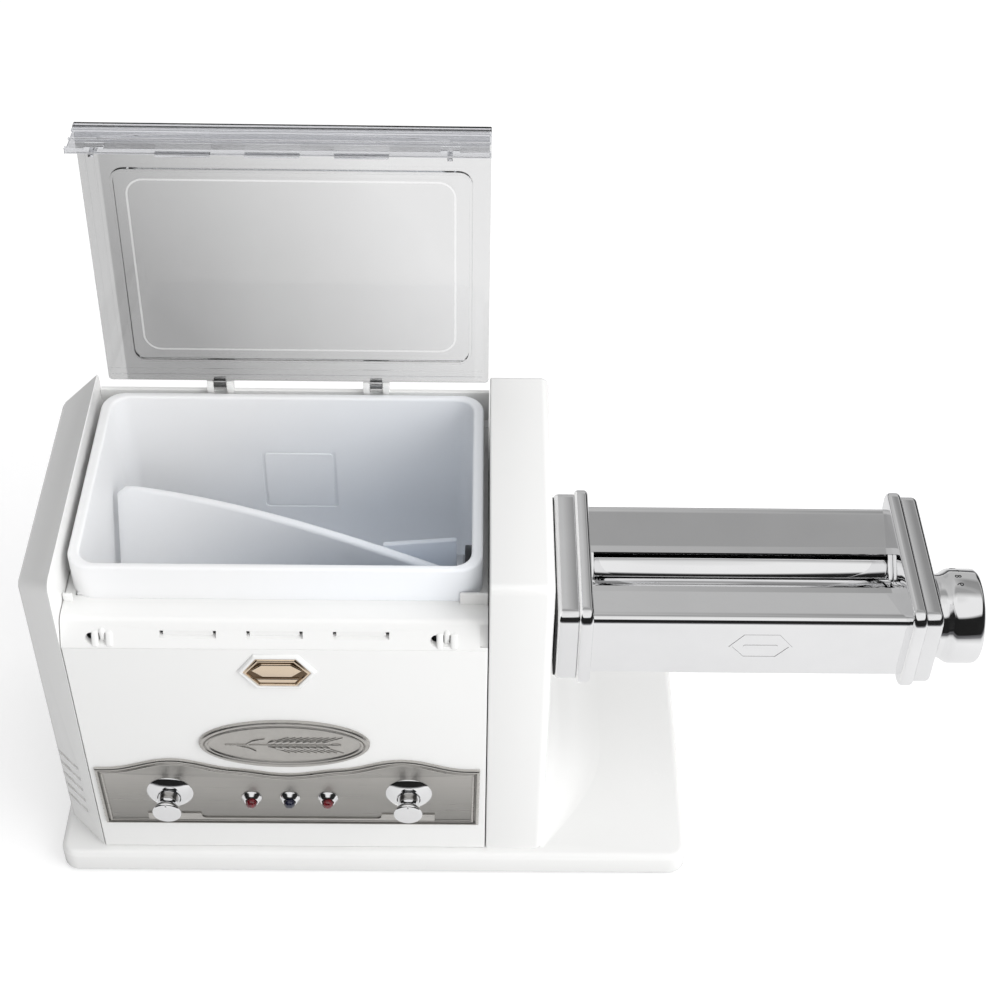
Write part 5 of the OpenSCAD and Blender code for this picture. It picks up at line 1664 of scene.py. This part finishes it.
@dataclass
class Lid:
    """The clear lid, laid out closed and then swung open about its hinge."""

    x: Point2 = (6.0, 204.3)
    y: Point2 = (3.2, 149.5)
    z: Point2 = (211.3, 213.7)
    hinge: Point2 = (153.0, 213.5)
    open_angle: float = 95.5
    skirt_foot: float = 186.5
    ears: Point2 = (60.5, 142.3)
    ear_width: float = 6.3
    ear_radius: float = 3.0
    pin_hole: float = 1.56
    tongue: float = 12.7
    arc_span: float = 82.0
    arc_rise: float = 5.625
    arc_foot: float = 198.6
    arc_points: int = 28
    side_lines: Sequence[float] = (9.0, 13.2, 197.4, 201.2)
    back_lines: Point2 = (142.0, 145.6)

    def swing(self) -> Matrix:
        """The turn from closed to how the lid stands.

        Returns:
            The turn.
        """
        pin = Vector((0.0, *self.hinge))
        turn = Matrix.Rotation(math.radians(-self.open_angle), 4, "X")
        return Matrix.Translation(pin) @ turn @ Matrix.Translation(-pin)

    def bar(self, name: str, inset: float, y: Point2, z: Point2) -> Piece:
        """A bar along the whole front, drawn in at both ends."""
        return block(name, (self.x[0] + inset, self.x[1] - inset), y, z)

    def frame_line(self, name: str, a: Point2, b: Point2, radius: float, width: float, drop: float) -> Piece:
        """A raised rounded frame under the plate.

        Args:
            name: the frame's name.
            a: its low corner.
            b: its high corner.
            radius: of its corners.
            width: of its line.
            drop: how far it hangs below the plate.

        Returns:
            The frame.
        """
        low, high = self.z[0] - drop, self.z[0] + 0.4
        line = prism(name, rounded_box(a, b, radius), Plane.XY, low, high)
        inside = rounded_box((a[0] + width, a[1] + width), (b[0] - width, b[1] - width), radius - width)
        carve(line, prism("core", inside, Plane.XY, low - 1, high + 1))
        return round_edges(line, width * 0.42, 3, at_level(2, low))

    def skirt(self) -> list[Piece]:
        """The front skirt with its lip and its ridges.

        Returns:
            The skirt's bars.
        """
        foot, under = self.skirt_foot, self.z[0] + 0.3
        ridge = self.bar("ridge", 0.0, (2.4, 4.2), (210.9, 213.0))
        return [self.bar("skirt", 1.0, (3.2, 5.2), (foot, under)),
                self.bar("lip", 0.0, (3.2, 6.0), (208.8, under)),
                round_edges(ridge, 0.8, 4, lambda e: is_crease(e) and high_end(e, 1) < 2.5),
                self.bar("ridge", 0.4, (2.6, 3.6), (204.4, 206.2)),
                self.bar("ridge", 0.4, (2.7, 3.6), (196.2, 197.4)),
                self.bar("foot", 0.2, (2.7, 5.5), (foot + 0.1, foot + 2.0))]

    def arc(self) -> Piece:
        """The low raised arc across the skirt.

        Returns:
            The arc.
        """
        places = [2 * k / self.arc_points - 1 for k in range(self.arc_points + 1)]
        low = [(LAYOUT.mid + self.arc_span * t, self.arc_foot + self.arc_rise * (1 - t ** 2)) for t in places]
        return prism("arc", low + [(x, z + 0.8) for x, z in reversed(low)], Plane.XZ, 3.4, 2.85)

    def latches(self) -> list[Piece]:
        """Three tongues that drop into the slots, and two hooks for the catches.

        Returns:
            Their blocks.
        """
        foot, latches = self.skirt_foot, []
        for x in LAYOUT.slots:
            wide, root = (x - self.tongue, x + self.tongue), (x - self.tongue - 0.2, x + self.tongue + 0.2)
            tongue = block("tongue", wide, (3.45, 4.35), (foot - 4.3, foot + 0.5))
            round_edges(tongue, 0.9, 3, lambda e: crease_along(1)(e) and low_end(e, 2) < 184)
            latches += [tongue, block("tongue_rib", wide, (4.3, 5.2), (foot + 0.4, foot + 3.0)),
                        block("tongue_root", root, (2.65, 3.4), (foot - 0.4, foot + 6.4))]
        for x in LAYOUT.catches:
            latches += [block("hook", (x - 4.5, x + 4.5), (1.45, 5.1), (foot + 0.05, foot + 4.0)),
                        block("hook_tip", (x - 1.2, x + 1.2), (1.45, 2.95), (178.65, foot + 0.5)),
                        block("hook_web", (x - 0.8, x + 0.8), (4.8, 6.3), (foot + 2.5, foot + 9.0))]
        return latches

    def lines(self) -> list[Piece]:
        """The two rounded frames and the fine lines under the plate."""
        under = self.z[0]
        return [self.frame_line("rib_frame", (20.0, 25.5), (195.5, 137.0), 7.0, 1.6, 2.0),
                self.frame_line("inner_line", (26.7, 31.5), (187.5, 130.5), 9.0, 1.0, 0.6),
                *[block("side_line", (x, x + 0.7), (6.5, 147), (under - 0.2, under + 0.4))
                  for x in self.side_lines],
                *[block("back_line", (8, 201), (y, y + 0.6), (under - 0.22, under + 0.4))
                  for y in self.back_lines]]

    def ear(self, x: float) -> Piece:
        """A hinge ear with its arm and its pin hole.

        Args:
            x: the ear's left face.

        Returns:
            The ear.
        """
        end = x + self.ear_width
        ear = lathe("ear", Plane.YZ, self.hinge, [(x, 0.0), (x, self.ear_radius), (end, self.ear_radius),
                                                  (end, 0.0)], 40)
        combine(ear, block("arm", (x, end), (148.0, self.hinge[0]), self.z), Cut.ON)
        return carve(ear, rod("pin", Plane.YZ, (x - 1, x + 8), self.hinge, self.pin_hole, 24))

    def build(self) -> None:
        """Builds the lid as one clear moulding."""
        outline = rounded_box((self.x[0], self.y[0]), (self.x[1], self.y[1]), 2.0, 4)
        plate = prism("lid_clear_moulding", outline, Plane.XY, *self.z)
        round_edges(plate, 0.95, 5, lambda e: is_crease(e) and high_end(e, 1) < self.y[0] + 0.1)
        ears = [self.ear(x) for x in self.ears]
        for part in (*self.skirt(), *self.latches(), self.arc(), *self.lines(), *ears):
            combine(plate, part, Cut.ON)
        round_edges(plate, 0.25, 2, lambda e: is_crease(e, 60))
        hand_over(plate, Finishes.lid, Rides.LID, "lid_clear", "lid", turn=self.swing(), sharp=30)


# ------------------------------------------------------------------ roller unit


@dataclass
class RollerUnit:
    """The sheet roller unit: end caps, bent sheet shells and two rollers."""

    left_cap: Point2 = (237.5, 248.0)
    left_flange: Point2 = (248.0, 255.0)
    right_flange: Point2 = (407.0, 414.0)
    right_cap: Point2 = (414.0, 422.5)
    y: Point2 = (3.0, 91.0)
    z: Point2 = (150.0, 198.0)
    corner: float = 6.0
    proud: float = 2.0
    front_axis: Point2 = (30.0, 170.0)
    knob_axis: Point2 = (32.0, 170.0)
    roller: float = 14.0
    journal: float = 5.0
    sheet: float = 1.2
    fold: float = 4.9
    emblem_at: Point2 = (337.0, 173.5)
    emblem_y: float = 6.95
    tenon_x: Point2 = (222.0, 239.0)
    tenon_flats: float = 8.0

    def outline(self, grow: float) -> list[Point2]:
        """The end caps' outline, grown or shrunk."""
        return rounded_box((self.y[0] - grow, self.z[0] - grow), (self.y[1] + grow, self.z[1] + grow),
                           self.corner + 0.8 * grow, 10)

    def cap(self, name: str, x: Point2, outer: float, node: str, *extras: Piece) -> None:
        """An end cap with a broad rounding on its outer side.

        Args:
            name: the piece's name.
            x: from its left to its right.
            outer: which of the two is the outer side.
            node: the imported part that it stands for.
            extras: bosses and pegs on it.
        """
        cap = prism(name, self.outline(0.0), Plane.YZ, *x)
        round_edges(cap, 2.6, 6, at_level(0, outer))
        round_edges(cap, 0.5, 3, at_level(0, x[0] + x[1] - outer))
        hand_over(gather(cap, *extras), Finishes.chrome_satin, Rides.UNIT, "chrome", node)

    def flange(self, name: str, x: Point2, node: str) -> None:
        """An inner flange with rounded rims, the bush hole and the carrier's slot.

        Args:
            name: the piece's name.
            x: its two faces.
            node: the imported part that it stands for.
        """
        flange = round_edges(prism(name, self.outline(self.proud), Plane.YZ, *x), 2.1, 6, at_level(0, *x))
        through = (x[0] - 1, x[1] + 1)
        carve(flange, rod("bush", Plane.YZ, through, LAYOUT.back_roller_axis, 8.02),
              block("slot", through, (18.9, 39.7), (161.85, 178.15)))
        hand_over(flange, Finishes.chrome, Rides.UNIT, "chrome", node, sharp=40)

    def shell(self, name: str, skin_y: float, lip_y: float, nodes: Sequence[str], *extras: Piece) -> None:
        """One bent sheet: the upright skin and the hood that slopes to a flat lip beside the roller.

        Args:
            name: the piece's name.
            skin_y: where the skin stands.
            lip_y: where the lip ends.
            nodes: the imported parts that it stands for.
            extras: what is pressed into it.
        """
        way = 1.0 if lip_y > skin_y else -1.0
        corners = [(skin_y + way * 9.5, 151.6), (skin_y, 151.6), (skin_y, 193.2), (lip_y - way * 4.2, 187.4),
                   (lip_y, 187.0)]
        span = (self.left_flange[1], self.right_flange[0])
        sheet = bent_sheet(name, filleted(corners, self.fold), span, self.sheet, way)
        hand_over(gather(sheet, *extras), Finishes.chrome, Rides.UNIT, "chrome", *nodes, sharp=40)

    def emblem(self) -> Piece:
        """A bare hexagon in low relief on the front skin.

        Returns:
            The emblem.
        """
        x, z = self.emblem_at
        ring = prism("emblem", hexagon((31.0, 17.0), (x, z)), Plane.XZ, 7.5, self.emblem_y)
        carve(ring, prism("core", hexagon((27.4, 14.0), (x, z)), Plane.XZ, 8.5, 6.0))
        dash = rounded_box((x - 8.5, z - 1.2), (x + 8.5, z + 1.2), 1.1)
        bar = prism("bar", dash, Plane.XZ, 7.5, self.emblem_y)
        return round_edges(gather(ring, bar), 0.15, 2, crease_at(1, self.emblem_y))

    def guides(self) -> None:
        """Slanted guide bars that keep the sheet off the flanges."""
        front = [(33.5, 186.0), (42.4, 181.2), (43.2, 182.3), (34.4, 187.2)]
        back = [(58.5, 185.6), (47.4, 178.6), (46.4, 179.8), (57.4, 187.0)]
        left, right, wide = self.left_flange[1], self.right_flange[0], 2.4
        bars = [round_edges(prism("guide", outline, Plane.YZ, *x), 0.35, 2)
                for x in ((left, left + wide), (right - wide, right)) for outline in (front, back)]
        hand_over(gather(*bars, name="sheet_guides"), Finishes.chrome_satin, Rides.UNIT, "chrome")

    def tenon(self, axis: Point2) -> Piece:
        """The hexagonal end that the drive socket turns.

        Args:
            axis: the roller's axis.

        Returns:
            The tenon.
        """
        reach = self.tenon_flats / math.sqrt(3)
        turns = [math.tau * k / 6 for k in range(6)]
        six = [(axis[0] + reach * math.sin(a), axis[1] + reach * math.cos(a)) for a in turns]
        tenon = prism("tenon", six, Plane.YZ, *self.tenon_x)
        return round_edges(tenon, 0.5, 2, at_level(0, self.tenon_x[0]))

    def turned(self, name: str, axis: Point2, start: float) -> Piece:
        """A polished roller with chamfered ends and its journals.

        Args:
            name: the piece's name.
            axis: the roller's axis.
            start: its left end.

        Returns:
            The roller.
        """
        r, neck = self.roller, self.journal
        profile = [(start, 0.0), (start, neck - 0.4), (start + 0.4, neck), (255.5, neck),
                   (255.5, r - 0.6), (255.7, r - 0.2), (256.1, r), (405.9, r), (406.3, r - 0.2),
                   (406.5, r - 0.6), (406.5, neck), (413.1, neck), (413.5, neck - 0.4), (413.5, 0.0)]
        return lathe(name, Plane.YZ, axis, profile, 128)

    def rollers(self) -> None:
        """The driven back roller and the front roller that shifts."""
        back = self.turned("back_roller_polished", LAYOUT.back_roller_axis, 238.5)
        hand_over(gather(back, self.tenon(LAYOUT.back_roller_axis)), Finishes.chrome, Rides.BACK_ROLLER,
                  "chrome", "back_roller", sharp=40)
        front = self.turned("front_roller_polished", self.front_axis, 241.0)
        hand_over(front, Finishes.chrome, Rides.FRONT_ROLLER, "chrome", "front_roller", sharp=40)

    def build(self) -> None:
        """Builds the unit."""
        boss = lathe("boss", Plane.YZ, LAYOUT.back_roller_axis,
                     [(238.5, 0.0), (238.5, 13.6), (236.6, 13.6), (236.05, 13.0), (236.05, 8.6), (238.4, 8.6),
                      (238.4, 0.0)])
        peg = [(238.5, 0.0), (238.5, 3.0), (233.6, 3.0), (233.0, 2.4), (233.0, 0.0)]
        pegs = [lathe("peg", Plane.YZ, at, peg, 32) for at in LAYOUT.pegs]
        self.cap("left_cap_shell", self.left_cap, self.left_cap[0], "left_cap", boss, *pegs)
        # Painted shadow: a thin black rubber plate behind the left cap, put where the gap beside the column
        # shows only shade.
        gap_shadow_plate = prism("painted_gap_shadow_plate", self.outline(-1.6), Plane.YZ, 236.8, 237.7)
        hand_over(round_edges(gap_shadow_plate, 0.3, 2, at_level(0, 236.8)), Finishes.rubber, Rides.UNIT, "black_plastic")
        self.flange("left_flange_rim", self.left_flange, "left_flange")
        self.flange("right_flange_rim", self.right_flange, "right_flange")
        seat = lathe("knob_seat", Plane.YZ, self.knob_axis,
                     [(421.0, 5.06), (421.0, 18.5), (423.6, 18.5), (424.1, 18.0), (424.1, 5.06)])
        self.cap("right_cap_shell", self.right_cap, self.right_cap[1], "right_cap", seat)
        self.shell("front_shell_sheet", 7.2, 34.5, ("front_skin", "front_hood"), self.emblem())
        self.shell("back_shell_sheet", 86.8, 57.5, ("back_skin", "back_hood"))
        self.guides()
        self.rollers()


@dataclass
class RegulatorKnob:
    """The flared chrome knob that sets the thickness, with numbers on its flank."""

    axis: Point2 = (32.0, 170.0)
    start: float = 424.5
    length: float = 22.0
    radius: float = 23.5
    bore: float = 5.06
    numbers: int = 9
    step: float = 14.5
    first: float = -24.0
    figure: float = 4.8
    figure_at: float = 10.4

    def profile(self) -> list[Point2]:
        """The knob's profile, from its neck at the cap to its rim and back to its bore.

        Returns:
            Its points in order.
        """
        start, end, r = self.start, self.start + self.length, self.radius
        neck = [(start + along, r - inward) for along, inward in (
            (0.0, 3.3), (0.4, 2.8), (1.2, 2.7), (3.2, 2.6), (4.6, 2.0), (6.0, 1.0), (7.2, 0.3), (8.4, 0.0))]
        rim = [(end - along, r - inward) for along, inward in (
            (2.6, 0.0), (1.4, 0.3), (0.6, 1.0), (0.1, 2.2), (0.0, 3.4), (0.0, 4.8), (0.5, 5.3), (1.2, 5.5))]
        return [(start, self.bore), *neck, *rim, (end - 1.3, 0.0), (end - 7.0, 0.0), (end - 7.0, self.bore),
                (start, self.bore)]

    def numeral(self, k: int) -> Piece:
        """One number, bent to the flank.

        Args:
            k: the number's place in the row, from 0.

        Returns:
            The number.
        """
        bpy.ops.object.text_add(location=(0.0, 0.0, 0.0))
        text = bpy.context.object
        text.data.body = str(k + 1)
        text.data.size = self.figure
        text.data.align_x = text.data.align_y = "CENTER"
        text.data.extrude = 0.1
        text.data.resolution_u = 3
        select_only(text)
        bpy.ops.object.convert(target="MESH")
        angle = math.radians(self.first + self.step * k)
        for vertex in text.data.vertices:
            across, along, out = vertex.co
            turn = angle - across / self.radius
            reach = self.radius + 0.02 + max(out, -0.1)
            vertex.co = (self.start + self.figure_at + along, self.axis[0] + reach * math.cos(turn),
                         self.axis[1] + reach * math.sin(turn))
        return text

    def build(self) -> None:
        """Builds the knob and its numbers."""
        knob = lathe("regulator_knob_turned", Plane.YZ, self.axis, self.profile(), 128)
        hand_over(knob, Finishes.chrome, Rides.REGULATOR, "chrome", "regulator_knob", sharp=50)
        figures = gather(*[self.numeral(k) for k in range(self.numbers)], name="regulator_numbers")
        hand_over(figures, Finishes.ink, Rides.REGULATOR, "black_plastic")


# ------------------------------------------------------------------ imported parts


@dataclass
class PackedParts:
    """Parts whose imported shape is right: they get a finish, and some get softer edges."""

    softened: dict[str, tuple[str, float, Finish, Rides, str]] = field(default_factory=lambda: {
        "rear_cover": ("rear_cover_shell", 0.5, Finishes.body, Rides.FRAME, "white_body"),
        "feet": ("rubber_feet", 0.4, Finishes.rubber, Rides.FRAME, "rubber_foot"),
        "paddle_hub": ("paddle_hub_turned", 0.5, Finishes.steel, Rides.PADDLE, "steel"),
        "tub_seal": ("tub_seal_ring", 0.5, Finishes.black, Rides.TUB, "black_plastic"),
        "tub_bush": ("tub_bush_ring", 0.3, Finishes.black, Rides.TUB, "black_plastic"),
        "power_inlet": ("power_inlet_socket", 0.4, Finishes.black, Rides.FRAME, "black_plastic"),
    })
    dressed: dict[str, Finish] = field(default_factory=lambda: {
        "gear_plate": Finishes.steel, "cover_screws": Finishes.steel, "hinge_pins": Finishes.pale_steel,
        "lamp_bodies": Finishes.black, "selector_switch": Finishes.black, "power_switch": Finishes.black,
        "circuit_board": Finishes.board, "motor_can": Finishes.steel, "reduction_axle": Finishes.steel,
        "drive_bush": Finishes.brass, "motor_rotor": Finishes.steel, "motor_fan": Finishes.black,
        "motor_pinion": Finishes.brass, "reduction_gear": Finishes.nylon,
        "paddle_drive_gear": Finishes.nylon, "drive_dog": Finishes.steel,
        "roller_drive_gear": Finishes.nylon, "roller_drive_shaft": Finishes.steel,
        "tie_rods": Finishes.steel, "scrapers": Finishes.steel, "roller_bushes": Finishes.brass,
        "back_roller_gear": Finishes.steel, "front_roller_gear": Finishes.steel,
        "gap_carriers": Finishes.brass, "regulator_shaft": Finishes.steel,
    })

    def build(self) -> None:
        """Dresses them all."""
        for node, (name, radius, finish, body, slot) in self.softened.items():
            hand_over(recast(node, name, radius), finish, body, slot, node, settled=True)
        for node, finish in self.dressed.items():
            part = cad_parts[node]
            if not part.material_slots:
                part.data.materials.append(None)
            for held in part.material_slots:
                held.material = finish.material()
            LOG.info("%s: packed part dressed with %s", node, finish.name)


# ------------------------------------------------------------------ studio


@dataclass
class Studio:
    """Camera, floor, world and lamps."""

    focal_px: float = 1823.534
    pitch: float = 0.767508
    yaw: float = 0.018392
    roll: float = 0.021797
    eye: Point3 = (198.286, -579.577, 837.148)
    sensor: float = 36.0
    image_px: float = 1000.0
    aim: Point3 = (0.0, 0.0, 0.12)
    key_at: Point3 = (1.2, -0.7, 1.3)
    key_size: float = 1.0
    key_watts: float = 10.6
    fill_at: Point3 = (1.15, -1.65, 0.45)
    fill_size: float = 1.4
    fill_watts: float = 10.5

    def camera(self) -> None:
        """The camera, from its place in the layout and its three angles."""
        cy, sy, cp, sp = math.cos(self.yaw), math.sin(self.yaw), math.cos(self.pitch), math.sin(self.pitch)
        ahead = Vector((sy * cp, cy * cp, -sp))
        level = Vector((cy, -sy, 0.0))
        above = level.cross(ahead)
        right = math.cos(self.roll) * level + math.sin(self.roll) * above
        up = -math.sin(self.roll) * level + math.cos(self.roll) * above
        data = bpy.data.cameras.new("studio_camera")
        data.sensor_width = self.sensor
        data.lens = self.focal_px * self.sensor / self.image_px
        data.clip_start, data.clip_end = 0.01, 50.0
        camera = bpy.data.objects.new("studio_camera", data)
        bpy.context.scene.collection.objects.link(camera)
        turn = Matrix((right, up, -ahead)).transposed().to_4x4()
        camera.matrix_world = Matrix.Translation(machine_origin() + Vector(self.eye) * MM) @ turn
        bpy.context.scene.camera = camera

    def floor(self) -> None:
        """A wide white floor that keeps the machine's soft shadow."""
        bpy.ops.mesh.primitive_plane_add(size=14.0, location=(0.0, 0.0, 0.0))
        floor = bpy.context.object
        floor.name = "studio_floor"
        made = bpy.data.materials.new("studio_floor_white")
        made.use_nodes = True
        sheet = NodeSheet(made.node_tree)
        white = sheet.grey(sheet.span(sheet.noise(3.0, 2.0), 0.3, 0.7, (0.66, 0.68)))
        seen = sheet.node("LightPath").outputs
        across, back, _ = sheet.axes(sheet.place())
        flat = sheet.node("CombineXYZ", {0: across, 1: back}).outputs[0]
        away = sheet.node("VectorMath", {0: flat}, operation="LENGTH").outputs["Value"]
        mirrored = sheet.math("SUBTRACT", seen["Is Glossy Ray"], seen["Is Transmission Ray"], True)
        far = sheet.times(sheet.span(away, 0.55, 1.3), mirrored)
        near = sheet.math("SUBTRACT", mirrored, far, True)
        direct = sheet.math("MAXIMUM", seen["Is Camera Ray"], seen["Is Transmission Ray"])
        shader = sheet.node("BsdfPrincipled", {
            "Base Color": sheet.mix(far, white, (0.12, 0.12, 0.125, 1.0)), "Roughness": 0.9,
            "Specular IOR Level": 0.0, "Emission Color": (1.0, 1.0, 1.0, 1.0),
            "Emission Strength": sheet.math("ADD", sheet.times(direct, 0.44), sheet.times(near, 0.13))})
        sheet.node("OutputMaterial", {0: shader.outputs[0]})
        floor.data.materials.append(made)

    @staticmethod
    def reflected(sheet: NodeSheet, way: Sequence[bpy.types.NodeSocket]) -> bpy.types.NodeSocket:
        """The graded studio that polished metal reflects.

        Args:
            sheet: the world's nodes.
            way: the direction, as three values.

        Returns:
            Its colour.
        """
        across, back, height = way
        front = sheet.ramp(height, [(-0.32, 0.9), (-0.28, 0.015), (0.62, 0.015), (0.70, 0.90), (0.96, 0.90),
                                    (1.0, 0.80)])
        rear = sheet.ramp(height, [(-1.0, 0.9), (-0.02, 0.70), (0.10, 0.52), (0.50, 0.52), (0.80, 0.60),
                                   (0.90, 0.36), (0.97, 0.36), (1.0, 0.5)])
        fall = sheet.span(across, 0.02, 0.24, (1.0, 0.52))
        high = sheet.times(sheet.span(height, 0.45, 0.6), sheet.span(height, 0.88, 0.8))
        dimmed = sheet.mix(high, rear, sheet.mix(1.0, rear, fall, "MULTIPLY"))
        wing = sheet.times(sheet.span(across, 0.38, 0.5), sheet.span(height, 0.42, 0.3))
        both = sheet.mix(sheet.span(back, 0.02, 0.26), front, dimmed)
        return sheet.mix(wing, both, (0.02, 0.02, 0.02, 1.0))

    def world(self) -> None:
        """White to the camera, plain to soft light, and a graded studio to reflections."""
        world = bpy.data.worlds.new("studio_world")
        bpy.context.scene.world = world
        world.use_nodes = True
        sheet = NodeSheet(world.node_tree)
        way = sheet.axes(sheet.node("TexCoord").outputs["Generated"])
        seen = sheet.node("LightPath").outputs
        right = sheet.span(way[0], -0.9, 0.9, (0.31, 1.12))
        ahead = sheet.span(way[1], -0.9, 0.9, (1.13, 0.93))
        above = sheet.span(way[2], 0.0, 0.9, (0.88, 1.23))
        soft = sheet.grey(sheet.times(sheet.times(right, ahead), above), 1.005)
        inside = sheet.times(seen["Transmission Depth"], 0.9, True)
        glossy = sheet.mix(inside, self.reflected(sheet, way), (0.7, 0.7, 0.71, 1.0))
        clear = sheet.math("MAXIMUM", seen["Is Camera Ray"], seen["Is Transmission Ray"])
        colour = sheet.mix(clear, sheet.mix(seen["Is Glossy Ray"], soft, glossy), (1.0, 1.0, 1.0, 1.0))
        backdrop = sheet.node("Background", {"Color": colour, "Strength": 1.0})
        sheet.node("OutputWorld", {0: backdrop.outputs[0]})

    def lamp(self, name: str, place: Point3, size: float, watts: float) -> None:
        """A large soft square lamp that looks at the machine's middle.

        Args:
            name: the lamp's name.
            place: where it hangs, in metres.
            size: its side, in metres.
            watts: its power.
        """
        data = bpy.data.lights.new(name, "AREA")
        data.shape, data.size, data.energy = "SQUARE", size, watts
        lamp = bpy.data.objects.new(name, data)
        bpy.context.scene.collection.objects.link(lamp)
        lamp.location = place
        lamp.rotation_euler = (Vector(self.aim) - Vector(place)).to_track_quat("-Z", "Y").to_euler()
        lamp.visible_glossy = False

    def build(self) -> None:
        """Sets the studio up."""
        self.camera()
        self.floor()
        self.world()
        self.lamp("key_soft", self.key_at, self.key_size, self.key_watts)
        self.lamp("fill_front", self.fill_at, self.fill_size, self.fill_watts)
        bpy.context.scene.view_settings.view_transform = "Standard"


def main() -> None:
    """Builds every sub-assembly, then the studio."""
    logging.basicConfig(level=logging.INFO, format="%(name)s: %(message)s")
    for part in (BaseTray(), SideCover(), MotorColumn(), FrontPanel(), ControlPanel(), Badges(), MixingTub(),
                 Paddle(), Lid(), RollerUnit(), RegulatorKnob(), PackedParts(), Studio()):
        LOG.info("building %s", type(part).__name__)
        part.build()


if __name__ == "__main__":
    main()
